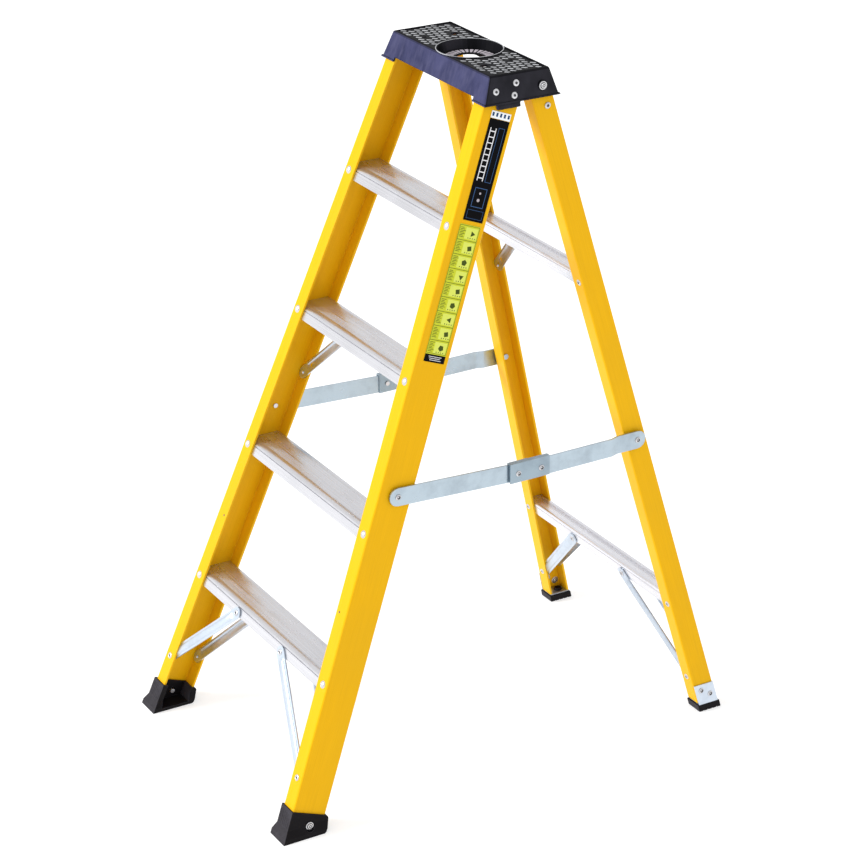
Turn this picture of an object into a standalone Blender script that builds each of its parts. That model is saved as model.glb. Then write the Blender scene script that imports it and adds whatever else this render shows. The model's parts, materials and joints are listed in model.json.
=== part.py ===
"""Folding step ladder with four treads and a moulded top cap.

Axes: metres, +Z up.  A person climbs facing +Y, so the treads' open side is at -Y,
the rear frame stands at +Y and +X is to the climber's right.
Origin: on the floor, at the centre of the space that the ladder takes up.

Every piece on the +X side is modelled once and mirrored for the -X side.  Sections
of the stiles are drawn on a level plane and sheared along the stile, so that at any
height z a stile's outer web is at x = half_width - taper * z.
"""
import math

import bmesh
import bpy
from mathutils import Matrix, Vector

# ---------------------------------------------------------------- driving sizes
GAP = 0.0003                 # clearance between pieces that touch
SEGMENTS = 16                # sides of a round hole or shank


class Frame:
    """One of the two ladder frames: a pair of channel-section stiles."""

    def __init__(self, foot_y, lean, half_width, taper, depth, flange, wall):
        self.foot_y = foot_y            # front face of the stiles at the floor
        self.lean = lean                # run in y for each metre of height
        self.half_width = half_width    # outer web at the floor
        self.taper = taper              # loss of half width for each metre of height
        self.depth = depth              # front face to rear face, measured level
        self.flange = flange            # outer web to the flange's lip
        self.wall = wall                # thickness of web and flanges
        self.slope = math.hypot(1.0, lean)   # level length of a unit of true depth

    def web(self, z):
        return self.half_width - self.taper * z

    def front(self, z):
        return self.foot_y + self.lean * z

    def at(self, x, z, inward):
        """Point at height z, lying `inward` behind the plane of the front flanges."""
        return Vector((x, self.front(z) + inward * self.slope, z))

    def normal(self):
        return Vector((0.0, 1.0, -self.lean)) / self.slope


# Depths (y) below are measured from the line where the two frames' front faces would
# meet the floor at equal distances; the finished ladder is then moved back by this much.
BASE_CENTRE_Y = 0.0199

FRONT = Frame(-0.4091, 0.3773, 0.2585, 0.0930, 0.0653, 0.0298, 0.0035)
REAR = Frame(0.4091, -0.2687, 0.2525, 0.0890, 0.0402, 0.0287, 0.0035)

TREAD_PITCH = 0.235
BOTTOM_TREAD_Z = 0.2524
TREAD_COUNT = 4
TREAD_SKIRT = 0.0205         # top of the plate to the skirts' lower edges
CROSSBAR_Z = (0.2268, 0.8284)
CROSSBAR_SKIRT = 0.0240
NOSE_RADIUS = 0.0030         # rounding of the front edge
HEEL_RADIUS = 0.0012         # rounding of the rear edge
SHEET = 0.0020               # thickness of tread, skirt and brace metal

FRONT_SOLE_Z = 0.0060        # underside of the front stiles, inside their boots
FRONT_TOP_Z = 1.1690
REAR_SOLE_Z = 0.0155         # underside of the rear stiles, on their foot brackets
BRACKET_SHEET = 0.0020

CAP_TOP_Z = 1.1761
CAP_LIP_Z = 1.1340
CAP_TOP = (0.1495, 0.0302, 0.1390)     # half width, front y, rear y at the top
CAP_LIP = (0.1600, 0.0158, 0.1512)     # the same at the lip
CAP_PLATE = 0.0046                     # top of the rim to the underside of the plate
CAP_WALL = 0.0025
CAP_TAB = 0.0105             # depth of the side tabs below the lip
CAP_LIP_STEP = 0.0011        # how far the lip's edge stands out
RECESS_CENTRE = (0.0, 0.0846)
RECESS_RADIUS = 0.0525
SHELF_DROP = 0.0150
SHELF_HOLE_RADIUS = 0.0232

HINGE = Vector((0.0, 0.1216, 1.1505))
SPREADER_FRONT = Vector((0.0, -0.1715, 0.5370))
SPREADER_KNEE = Vector((0.0, 0.0490, 0.5283))
SPREADER_REAR = Vector((0.0, 0.2853, 0.5312))
BAR_HALF = 0.0155            # half the width of a spreader bar
BAR_SHEET = 0.0030
FRONT_BAR_X = 0.2108         # inboard face of the front bars
REAR_BAR_X = FRONT_BAR_X + BAR_SHEET + GAP
CLIP_SHEET = 0.0018
KNEE_RIVET_SPACING = 0.0436
JOGGLE = 0.0045              # how far the rear bar steps in towards the rear stile

COLOURS = {                  # base colour, roughness, metallic
    "fibreglass": ((0.90, 0.52, 0.01), 0.38, 0.0),
    "aluminium": ((0.66, 0.66, 0.67), 0.34, 1.0),
    "zinc_steel": ((0.60, 0.66, 0.74), 0.30, 1.0),
    "cap_plastic": ((0.02, 0.02, 0.03), 0.42, 0.0),
    "rubber": ((0.015, 0.015, 0.016), 0.62, 0.0),
    "label_black": ((0.01, 0.01, 0.012), 0.30, 0.0),
    "label_white": ((0.85, 0.87, 0.90), 0.35, 0.0),
    "label_green": ((0.55, 0.68, 0.05), 0.35, 0.0),
}

# ---------------------------------------------------------------- scene set-up
for old in list(bpy.data.objects):
    bpy.data.objects.remove(old, do_unlink=True)

LADDER = bpy.data.collections.new("step_ladder")
CUTTERS = bpy.data.collections.new("cutters")
for collection in (LADDER, CUTTERS):
    bpy.context.scene.collection.children.link(collection)


def make_material(name):
    colour, roughness, metallic = COLOURS[name]
    material = bpy.data.materials.new(name)
    material.use_nodes = True
    shader = material.node_tree.nodes["Principled BSDF"]
    shader.inputs["Base Color"].default_value = (*colour, 1.0)
    shader.inputs["Roughness"].default_value = roughness
    shader.inputs["Metallic"].default_value = metallic
    return material


MATERIALS = {name: make_material(name) for name in COLOURS}


# ---------------------------------------------------------------- modelling tools
def add_object(name, mesh, material=None):
    """Link a mesh as a part, or as a cutter when it has no material."""
    obj = bpy.data.objects.new(name, mesh)
    if material:
        LADDER.objects.link(obj)
        mesh.materials.clear()
        mesh.materials.append(MATERIALS[material])
    else:
        CUTTERS.objects.link(obj)
        obj.hide_render = True
        obj.display_type = "WIRE"
    return obj


def evaluated_mesh(obj):
    """The object's mesh with its modifiers applied, welded and facing out."""
    bpy.context.view_layer.update()
    depsgraph = bpy.context.evaluated_depsgraph_get()
    mesh = bpy.data.meshes.new_from_object(obj.evaluated_get(depsgraph))
    work = bmesh.new()
    work.from_mesh(mesh)
    bmesh.ops.remove_doubles(work, verts=work.verts, dist=0.000005)
    bmesh.ops.recalc_face_normals(work, faces=work.faces)
    work.to_mesh(mesh)
    work.free()
    return mesh


def arc(centre, radius, start, end, steps):
    """Points along an arc, with its angles in degrees."""
    angles = [math.radians(start + (end - start) * i / steps) for i in range(steps + 1)]
    return [(centre[0] + radius * math.cos(a), centre[1] + radius * math.sin(a))
            for a in angles]


def circle(centre, radius, steps=SEGMENTS):
    return arc(centre, radius, 0.0, 360.0, steps)[:-1]


def outline_mesh(outlines, low, high):
    """Closed mesh of a flat outline and its holes, from z = low to z = high."""
    curve = bpy.data.curves.new("outline", "CURVE")
    curve.dimensions = "2D"
    curve.fill_mode = "BOTH"
    curve.extrude = (high - low) / 2.0
    for points in outlines:
        spline = curve.splines.new("POLY")
        spline.points.add(len(points) - 1)
        for point, (x, y) in zip(spline.points, points):
            point.co = (x, y, 0.0, 1.0)
        spline.use_cyclic_u = True
    carrier = bpy.data.objects.new("outline", curve)
    LADDER.objects.link(carrier)
    mesh = evaluated_mesh(carrier)
    bpy.data.objects.remove(carrier, do_unlink=True)
    mesh.transform(Matrix.Translation((0.0, 0.0, (low + high) / 2.0)))
    return mesh


def side_plate(outlines, x_in, x_out):
    """Mesh of an outline drawn in (y, z) and extruded along x."""
    mesh = outline_mesh(outlines, x_in, x_out)
    mesh.transform(Matrix(((0, 0, 1, 0), (1, 0, 0, 0), (0, 1, 0, 0), (0, 0, 0, 1))))
    return mesh


def box_mesh(low, high):
    work = bmesh.new()
    bmesh.ops.create_cube(work, size=1.0)
    size = Vector(high) - Vector(low)
    bmesh.ops.scale(work, vec=size, verts=work.verts)
    bmesh.ops.translate(work, vec=Vector(low) + size / 2.0, verts=work.verts)
    mesh = bpy.data.meshes.new("box")
    work.to_mesh(mesh)
    work.free()
    return mesh


def frustum_mesh(low_z, low, high_z, high):
    """Box whose half width, front y and rear y change between two heights."""
    mesh = box_mesh((-1.0, 0.0, low_z), (1.0, 1.0, high_z))
    for vertex in mesh.vertices:
        half, front, rear = low if vertex.co.z < (low_z + high_z) / 2.0 else high
        vertex.co.x = math.copysign(half, vertex.co.x)
        vertex.co.y = front if vertex.co.y < 0.5 else rear
    return mesh


def round_bar(start, end, radius, end_radius=None, steps=SEGMENTS):
    """Cylinder or cone between two points."""
    start, end = Vector(start), Vector(end)
    work = bmesh.new()
    bmesh.ops.create_cone(work, cap_ends=True, segments=steps, radius1=radius,
                          radius2=end_radius or radius, depth=(end - start).length)
    turn = (end - start).to_track_quat("Z", "Y").to_matrix().to_4x4()
    bmesh.ops.transform(work, matrix=Matrix.Translation((start + end) / 2.0) @ turn,
                        verts=work.verts)
    mesh = bpy.data.meshes.new("round")
    work.to_mesh(mesh)
    work.free()
    return mesh


def turned(name, profile, seat, axis, material, steps=12):
    """Profile of (radius, height) pairs from top to bottom, turned about an axis."""
    mesh = bpy.data.meshes.new(name)
    points = [(radius, 0.0, height) for radius, height in profile]
    mesh.from_pydata(points, [(i, i + 1) for i in range(len(points) - 1)], [])
    carrier = bpy.data.objects.new(name, mesh)
    LADDER.objects.link(carrier)
    screw = carrier.modifiers.new("turn", "SCREW")
    screw.steps = screw.render_steps = steps
    screw.use_merge_vertices = True
    screw.merge_threshold = 0.00001
    solid = evaluated_mesh(carrier)
    bpy.data.objects.remove(carrier, do_unlink=True)
    solid.transform(Vector(axis).to_track_quat("Z", "Y").to_matrix().to_4x4())
    obj = add_object(name, solid, material)
    obj.location = seat
    return obj


def boolean(obj, mesh, operation="DIFFERENCE"):
    """Cut, join or intersect with a mesh, kept as a cutter object."""
    cutter = add_object(f"{obj.name}_cutter_{len(obj.modifiers)}", mesh)
    modifier = obj.modifiers.new(operation.lower(), "BOOLEAN")
    modifier.operation = operation
    modifier.solver = "EXACT"
    modifier.object = cutter
    return obj


def drill(obj, start, end, radius):
    return boolean(obj, round_bar(start, end, radius))


def drill_x(obj, centre, x_in, x_out, radius):
    return drill(obj, (x_in, centre.y, centre.z), (x_out, centre.y, centre.z), radius)


def shear(mesh, frame):
    """Lean and taper a section drawn at floor level so that it follows the stile."""
    mesh.transform(Matrix(((1, 0, -frame.taper, 0), (0, 1, frame.lean, 0),
                           (0, 0, 1, 0), (0, 0, 0, 1))))
    return mesh


def taper_only(mesh, frame):
    mesh.transform(Matrix(((1, 0, -frame.taper, 0), (0, 1, 0, 0),
                           (0, 0, 1, 0), (0, 0, 0, 1))))
    return mesh


def trim(mesh, point, normal):
    """Cut a mesh with a plane, dropping what the normal points to, and cap it."""
    work = bmesh.new()
    work.from_mesh(mesh)
    geometry = list(work.verts) + list(work.edges) + list(work.faces)
    cut = bmesh.ops.bisect_plane(work, geom=geometry, dist=0.0000001, plane_co=point,
                                 plane_no=normal, clear_outer=True)
    rim = [item for item in cut["geom_cut"] if isinstance(item, bmesh.types.BMEdge)]
    bmesh.ops.holes_fill(work, edges=rim)
    bmesh.ops.recalc_face_normals(work, faces=work.faces)
    work.to_mesh(mesh)
    work.free()
    return mesh


def soften(obj, width, segments=2):
    bevel = obj.modifiers.new("soften", "BEVEL")
    bevel.width = width
    bevel.segments = segments
    bevel.limit_method = "ANGLE"
    bevel.angle_limit = math.radians(35.0)
    return obj


def set_origin(obj, point):
    """Move the object's origin onto a joint's axis without moving its shape."""
    obj.data.transform(Matrix.Translation(obj.location - Vector(point)))
    obj.location = point
    return obj


def mirror_to_left(obj, name):
    """The matching piece for the -X side."""
    mesh = evaluated_mesh(obj)
    mesh.transform(Matrix.Scale(-1.0, 4, (1.0, 0.0, 0.0)))
    mesh.flip_normals()
    twin = add_object(name, mesh, obj.data.materials[0].name)
    twin.location = (-obj.location.x, obj.location.y, obj.location.z)
    return twin


def both_sides(obj):
    """Name the piece for the right side and add its mirror image."""
    stem = obj.name
    obj.name = f"{stem}_right"
    mirror_to_left(obj, f"{stem}_left")


def carry(name, point, prefixes, side=""):
    """Hang the pieces of a moving body from an empty on their joint's axis."""
    pivot = bpy.data.objects.new(f"{name}_pivot", None)
    LADDER.objects.link(pivot)
    pivot.location = Vector(point) - Vector((0.0, BASE_CENTRE_Y, 0.0))
    bpy.context.view_layer.update()
    for piece in LADDER.objects:
        if piece.type == "MESH" and piece.name.startswith(prefixes) and side in piece.name:
            piece.parent = pivot
            piece.matrix_parent_inverse = pivot.matrix_world.inverted()


# ---------------------------------------------------------------- fasteners
RIVET_SHANK = 0.0025
HOLE_RADIUS = RIVET_SHANK + 0.0006
BOLT_SHANK = 0.0042
BOLT_HOLE = BOLT_SHANK + 0.0008


def rivet_profile(shank, head, rise, grip, tail, collar=None):
    """Domed head at the seat, shank down through the grip, and a formed tail.

    collar is (radius, start, end) for a shoulder that spaces two pieces apart.
    """
    points = [(0.0, GAP + rise), (head * 0.55, GAP + rise * 0.92),
              (head * 0.9, GAP + rise * 0.45), (head, GAP), (shank, GAP)]
    if collar:
        radius, start, end = collar
        points += [(shank, -start), (radius, -start), (radius, -end), (shank, -end)]
    if tail:
        points += [(shank, -grip), (tail, -grip), (tail, -grip - 0.0014),
                   (0.0, -grip - 0.0014)]
    else:
        points += [(shank, -grip), (0.0, -grip)]
    return points


def cap_rivets():
    """Three blind rivets through each cap side into the front stile's web."""
    lean = (CAP_LIP[0] - CAP_TOP[0]) / (CAP_TOP_Z - CAP_LIP_Z)
    out = Vector((1.0, 0.0, lean)).normalized()
    rivets = []
    for name, y, z in (("cap_rivet_front", 0.0380, 1.1520),
                       ("cap_rivet_upper", 0.0755, 1.1605),
                       ("cap_rivet_lower", 0.0700, 1.1425)):
        seat = Vector((CAP_LIP[0] - lean * (z - CAP_LIP_Z), y, z))
        profile = rivet_profile(RIVET_SHANK, 0.0052, 0.0019, 0.0160, 0.0042)
        rivets.append(turned(name, profile, seat, out, "zinc_steel"))
    return rivets, out


# ---------------------------------------------------------------- stiles
def channel_outline(frame, grow=0.0):
    """C-shaped section at floor level, its flanges pointing to the centre."""
    wall_y = frame.wall * frame.slope + grow
    radius = 0.0030
    web = frame.half_width + grow
    lip = frame.half_width - frame.flange - grow
    inner = frame.half_width - frame.wall - grow
    front = frame.foot_y - grow
    rear = frame.foot_y + frame.depth + grow
    points = [(lip, front)]
    points += arc((web - radius, front + radius), radius, -90.0, 0.0, 3)
    points += arc((web - radius, rear - radius), radius, 0.0, 90.0, 3)
    points += [(lip, rear), (lip, rear - wall_y - grow), (inner, rear - wall_y - grow),
               (inner, front + wall_y + grow), (lip, front + wall_y + grow)]
    return points


def stile(name, frame, low, high):
    mesh = shear(outline_mesh([channel_outline(frame)], low, high), frame)
    return add_object(name, mesh, "fibreglass")


def front_stile(rivets, rivet_axis):
    obj = stile("front_stile", FRONT, FRONT_SOLE_Z, FRONT_TOP_Z)
    for rivet in rivets:
        drill(obj, rivet.location - rivet_axis * 0.03, rivet.location, HOLE_RADIUS)
    drill_x(obj, SPREADER_FRONT, 0.195, 0.215, HOLE_RADIUS)
    drill_x(obj, BOOT_BOLT, 0.240, 0.265, BOLT_HOLE)
    return obj


def rear_stile():
    """Rear stile with a round top end that turns inside the cap."""
    obj = stile("rear_stile", REAR, REAR_SOLE_Z, 1.180)
    boolean(obj, rear_top_cutter())
    drill_x(obj, HINGE, 0.130, 0.160, BOLT_HOLE)
    drill_x(obj, TOP_RIVET, 0.140, 0.165, HOLE_RADIUS)
    drill_x(obj, SPREADER_REAR, 0.195, 0.215, HOLE_RADIUS)
    return obj


def rear_top_cutter():
    """Everything above a half round as wide as the stile, centred at the hinge."""
    along = Vector((REAR.lean, 1.0)) / REAR.slope
    across = Vector((1.0, -REAR.lean)) / REAR.slope
    radius = REAR.depth / REAR.slope / 2.0
    middle_y = REAR.front(HINGE.z) + REAR.depth / 2.0
    centre = Vector((middle_y, HINGE.z)) - along * 0.004
    edge = [centre + across * (radius + 0.01)]
    edge += [centre + across * radius * math.cos(math.radians(a))
             + along * radius * math.sin(math.radians(a)) for a in range(0, 181, 20)]
    edge += [centre - across * (radius + 0.01), centre - across * (radius + 0.01)
             + along * 0.08, centre + across * (radius + 0.01) + along * 0.08]
    return side_plate([[tuple(point) for point in edge]], 0.10, 0.17)


TOP_RIVET = Vector((0.0, 0.1340, 1.1150))


def top_rivet():
    seat = Vector((REAR.web(TOP_RIVET.z) + 0.0005, TOP_RIVET.y, TOP_RIVET.z))
    profile = rivet_profile(RIVET_SHANK, 0.0052, 0.0019, 0.0052, 0.0042)
    return turned("rear_stile_rivet", profile, seat, (1, 0, 0), "zinc_steel")


# ---------------------------------------------------------------- treads and crossbars
def channel_bar(name, frame, top_z, skirt):
    """Level top plate with skirts that lie along the flanges' inner faces."""
    clear = (frame.wall + GAP) * frame.slope
    under = top_z - SHEET
    low = top_z - skirt
    front, rear = frame.front, lambda z: frame.front(z) + frame.depth
    sheet = SHEET * frame.slope
    nose_z, heel_z = top_z - NOSE_RADIUS, top_z - HEEL_RADIUS
    outline = [(front(low) + clear, low)]
    outline += arc((front(nose_z) + clear + NOSE_RADIUS, nose_z), NOSE_RADIUS, 180.0, 90.0, 4)
    outline += arc((rear(heel_z) - clear - HEEL_RADIUS, heel_z), HEEL_RADIUS, 90.0, 0.0, 2)
    outline += [(rear(low) - clear, low), (rear(low) - clear - sheet, low),
                (rear(under) - clear - sheet, under), (front(under) + clear + sheet, under),
                (front(low) + clear + sheet, low)]
    reach = frame.half_width
    mesh = side_plate([outline], -reach, reach)
    end = frame.web(0.0) - frame.wall - GAP
    for side in (-1.0, 1.0):
        trim(mesh, (side * end, 0.0, 0.0), Vector((side, 0.0, frame.taper)).normalized())
    return add_object(name, mesh, "aluminium")


def treads():
    for number in range(TREAD_COUNT):
        channel_bar(f"tread_{number + 1}", FRONT, BOTTOM_TREAD_Z + TREAD_PITCH * number,
                    TREAD_SKIRT)


def crossbars():
    for name, z in zip(("rear_crossbar_lower", "rear_crossbar_upper"), CROSSBAR_Z):
        channel_bar(name, REAR, z, CROSSBAR_SKIRT)


# ---------------------------------------------------------------- diagonal braces
BRACE_HALF = 0.0105
BRACE_TOP_X = 0.0790         # upper rivets, out from the middle
BRACE_TOP_X_OUTER = 0.0890   # the same on the rear of the lower crossbar
RIVET_ABOVE_SKIRT = 0.0045   # upper rivets above the lower edge of a skirt
TREAD_RIVET = RIVET_ABOVE_SKIRT - TREAD_SKIRT
CROSSBAR_RIVET = RIVET_ABOVE_SKIRT - CROSSBAR_SKIRT
# name, frame, behind the rear flange?, x and height of the upper rivet, height of the lower
BRACES = (
    ("brace_tread_1_front", FRONT, False, BRACE_TOP_X, BOTTOM_TREAD_Z + TREAD_RIVET, 0.0970),
    ("brace_tread_1_rear", FRONT, True, BRACE_TOP_X, BOTTOM_TREAD_Z + TREAD_RIVET, 0.0790),
    ("brace_tread_3_rear", FRONT, True, BRACE_TOP_X,
     BOTTOM_TREAD_Z + 2 * TREAD_PITCH + TREAD_RIVET, 0.5940),
    ("brace_crossbar_lower_front", REAR, False, BRACE_TOP_X,
     CROSSBAR_Z[0] + CROSSBAR_RIVET, 0.0640),
    ("brace_crossbar_lower_rear", REAR, True, BRACE_TOP_X_OUTER,
     CROSSBAR_Z[0] + CROSSBAR_RIVET, 0.0780),
    ("brace_crossbar_upper_rear", REAR, True, BRACE_TOP_X,
     CROSSBAR_Z[1] + CROSSBAR_RIVET, 0.7200),
)


def brace(name, frame, at_rear, upper_x, upper_z, lower_z):
    """Flat strip from a skirt's outer face to a flange's inner face."""
    depth = frame.depth / frame.slope
    outside, inside = frame.wall - 0.0003 - SHEET / 2.0, frame.wall + 0.0008 + SHEET / 2.0
    if at_rear:
        outside, inside = depth - outside, depth - inside
    upper = frame.at(upper_x, upper_z, outside)
    lower = frame.at(frame.web(lower_z) - frame.wall - BRACE_HALF - 0.0010, lower_z, inside)
    run = lower - upper
    along = run.normalized()
    facing = frame.normal()
    facing = (facing - along * facing.dot(along)).normalized()
    across = facing.cross(along)
    outline = arc((0.0, 0.0), BRACE_HALF, 90.0, 270.0, 6)
    outline += arc((run.length, 0.0), BRACE_HALF, -90.0, 90.0, 6)
    mesh = outline_mesh([outline], -SHEET / 2.0, SHEET / 2.0)
    basis = Matrix((along, across, facing)).transposed().to_4x4()
    mesh.transform(Matrix.Translation(upper) @ basis)
    return add_object(name, mesh, "zinc_steel")


# ---------------------------------------------------------------- front boots
BOOT_BOLT = Vector((0.0, -0.3650, 0.0185))
BOOT_WALL = 0.0032
BOOT_REAR_WALL = 0.0058
BOOT_TOP_Z = 0.0500          # height of the boot's top edge at the stile's front face
FLARE_LOW, FLARE_HIGH = 0.0080, 0.0200
FLARE_SIDE, FLARE_FRONT = 0.0056, 0.0034
BOLT_SEAT = Vector((FRONT.web(BOOT_BOLT.z) + BOOT_WALL, BOOT_BOLT.y, BOOT_BOLT.z))
BOLT_RECESS = 0.0090         # radius of the recess round the bolt's head


def boot_outline():
    """Side view of the boot in (y, z), with round rear corners."""
    front = FRONT.front(0.0) - BOOT_WALL
    rear = FRONT.front(0.0) + FRONT.depth + BOOT_REAR_WALL
    top_front = Vector((FRONT.front(BOOT_TOP_Z) - BOOT_WALL, BOOT_TOP_Z))
    depth = (rear - front) / FRONT.slope
    top_rear = top_front + Vector((1.0, -FRONT.lean)) / FRONT.slope * depth
    radius, tilt = 0.0055, math.degrees(math.atan(FRONT.lean))
    square = Vector((1.0, -FRONT.lean)) / FRONT.slope + Vector((FRONT.lean, 1.0)) / FRONT.slope
    upper = arc(top_rear - square * radius, radius, 90.0 - tilt, -tilt, 4)
    lower = arc((rear - 0.0048, 0.0060), 0.0060, -tilt, -90.0, 4)
    return [(front, 0.0), tuple(top_front)] + upper + lower


def flare(mesh):
    """Spread the foot of the boot sideways and forward."""
    middle_x = FRONT.half_width - FRONT.flange / 2.0
    middle_y = FRONT.foot_y + FRONT.depth / 2.0
    work = bmesh.new()
    work.from_mesh(mesh)
    for height in (FLARE_LOW, FLARE_HIGH):
        geometry = list(work.verts) + list(work.edges) + list(work.faces)
        bmesh.ops.bisect_plane(work, geom=geometry, dist=0.0000001,
                               plane_co=(0.0, 0.0, height), plane_no=(0.0, 0.0, 1.0))
    for vertex in work.verts:
        share = (FLARE_HIGH - vertex.co.z) / (FLARE_HIGH - FLARE_LOW)
        share = min(max(share, 0.0), 1.0)
        vertex.co.x += math.copysign(FLARE_SIDE, vertex.co.x - middle_x) * share
        if vertex.co.y < middle_y:
            vertex.co.y -= FLARE_FRONT * share
    work.to_mesh(mesh)
    work.free()
    return mesh


def boot():
    """Rubber boot: a sleeve round the channel on a thick, flared sole."""
    web = FRONT.half_width + BOOT_WALL
    lip = FRONT.half_width - FRONT.flange - BOOT_WALL
    mesh = taper_only(side_plate([boot_outline()], lip, web), FRONT)
    obj = soften(add_object("front_boot", flare(mesh), "rubber"), 0.0014)
    hollow_x = FRONT.half_width - FRONT.wall - BOOT_WALL
    hollow_front = FRONT.foot_y + FRONT.wall * FRONT.slope + BOOT_WALL
    hollow_rear = FRONT.foot_y + FRONT.depth - FRONT.wall * FRONT.slope - BOOT_WALL
    hollow = outline_mesh([[(lip - 0.02, hollow_front), (hollow_x, hollow_front),
                            (hollow_x, hollow_rear), (lip - 0.02, hollow_rear)]],
                          FRONT_SOLE_Z, 0.10)
    boolean(obj, shear(hollow, FRONT))
    pocket = outline_mesh([channel_outline(FRONT, GAP)], FRONT_SOLE_Z - GAP, 0.10)
    boolean(obj, shear(pocket, FRONT))
    drill(obj, BOLT_SEAT, BOLT_SEAT + Vector((0.02, 0.0, 0.0)), BOLT_RECESS)
    return drill_x(obj, BOOT_BOLT, 0.240, 0.270, BOLT_HOLE)


def boot_bolt():
    """Bolt through the boot and the web, with a hexagon nut inside."""
    profile = rivet_profile(BOLT_SHANK, 0.0072, 0.0026, 0.0120, 0.0068)
    return turned("boot_bolt", profile, BOLT_SEAT, (1, 0, 0), "zinc_steel")


# ---------------------------------------------------------------- rear feet
PAD_TOP_Z = REAR_SOLE_Z - BRACKET_SHEET - 2 * GAP
PAD_RIM = 0.0026
BRACKET_TOP_Z = 0.0510        # height of the bracket's top edge
STUD = Vector((REAR.half_width - 0.0165, REAR.foot_y + REAR.depth / 2.0, 0.0))
STUD_SHANK, STUD_HEAD = 0.0040, 0.0078


def rear_pad():
    """Ribbed rubber pad held to the bracket's ledge by a stud with a round head."""
    web = REAR.half_width + PAD_RIM
    lip = REAR.half_width - REAR.flange - PAD_RIM
    front = REAR.foot_y - PAD_RIM
    rear = REAR.foot_y + REAR.depth + PAD_RIM
    outline = [(lip, front), (web, front), (web, rear), (lip, rear)]
    obj = add_object("rear_foot_pad", shear(outline_mesh([outline], 0.0, PAD_TOP_Z), REAR),
                     "rubber")
    soften(obj, 0.0012)
    ribs = 5
    pitch = (rear - front) / ribs
    for rib in range(1, ribs):
        groove_y = front + pitch * rib
        boolean(obj, box_mesh((0.20, groove_y - 0.0012, -0.001),
                              (0.28, groove_y + 0.0012, 0.0016)))
    ledge_top = PAD_TOP_Z + GAP + BRACKET_SHEET
    shank = round_bar(STUD + Vector((0, 0, PAD_TOP_Z - 0.004)),
                      STUD + Vector((0, 0, ledge_top + 0.002)), STUD_SHANK)
    head = round_bar(STUD + Vector((0, 0, ledge_top + GAP)),
                     STUD + Vector((0, 0, ledge_top + 0.0042)), STUD_HEAD, STUD_HEAD - 0.002)
    boolean(obj, shank, "UNION")
    return boolean(obj, head, "UNION")


def foot_bracket():
    """Angle of galvanised sheet: a plate on the outer web and a ledge under it."""
    low = PAD_TOP_Z + GAP
    plate_x = REAR.half_width + GAP
    ledge_x = REAR.half_width - REAR.flange
    front, rear = REAR.foot_y + 0.0004, REAR.foot_y + REAR.depth - 0.0004
    mesh = outline_mesh([[(ledge_x, low), (plate_x + BRACKET_SHEET, low),
                          (plate_x + BRACKET_SHEET, 0.070), (plate_x, 0.070),
                          (plate_x, low + BRACKET_SHEET), (ledge_x, low + BRACKET_SHEET)]],
                        -rear, -front)
    mesh.transform(Matrix.Rotation(math.radians(90.0), 4, "X"))
    trim(shear(mesh, REAR), (0.0, 0.0, BRACKET_TOP_Z), (0.0, 0.0, 1.0))
    obj = add_object("rear_foot_bracket", mesh, "zinc_steel")
    return drill(obj, STUD, STUD + Vector((0, 0, low + 0.006)), STUD_SHANK + GAP)


# ---------------------------------------------------------------- top cap
def cap_half_width(z):
    share = (z - CAP_LIP_Z) / (CAP_TOP_Z - CAP_LIP_Z)
    return CAP_LIP[0] + (CAP_TOP[0] - CAP_LIP[0]) * share


def cap_section(z):
    """Half width, front y and rear y of the cap's outside at a height."""
    share = (z - CAP_LIP_Z) / (CAP_TOP_Z - CAP_LIP_Z)
    return tuple(low + (high - low) * share for low, high in zip(CAP_LIP, CAP_TOP))


def cavity_section(z):
    """Inside of the cap: it follows the stiles' webs and the front flanges."""
    half = FRONT.web(z) + 0.0006
    return half, FRONT.front(z) - 0.0004, cap_section(z)[2] - CAP_WALL


def panel_outline(side):
    """Sunken panel between an end of the cap and the ring round the recess."""
    half, front, rear = CAP_TOP
    margin = 0.0048
    ring = RECESS_RADIUS + 0.0030
    near, far = front + margin, rear - margin
    low = math.degrees(math.asin((near - RECESS_CENTRE[1]) / ring))
    high = math.degrees(math.asin((far - RECESS_CENTRE[1]) / ring))
    points = [(half - margin, near), (half - margin, far)]
    points += arc(RECESS_CENTRE, ring, high, low, 8)
    return [(side * x, y) for x, y in points]


CAP_SLOTS = (                # x, y and half width of the square holes in the panels
    (-0.0860, 0.1080, 0.0052), (0.0925, 0.0560, 0.0052),
    (0.0860, 0.1080, 0.0030), (-0.0925, 0.0560, 0.0030),
)


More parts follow.
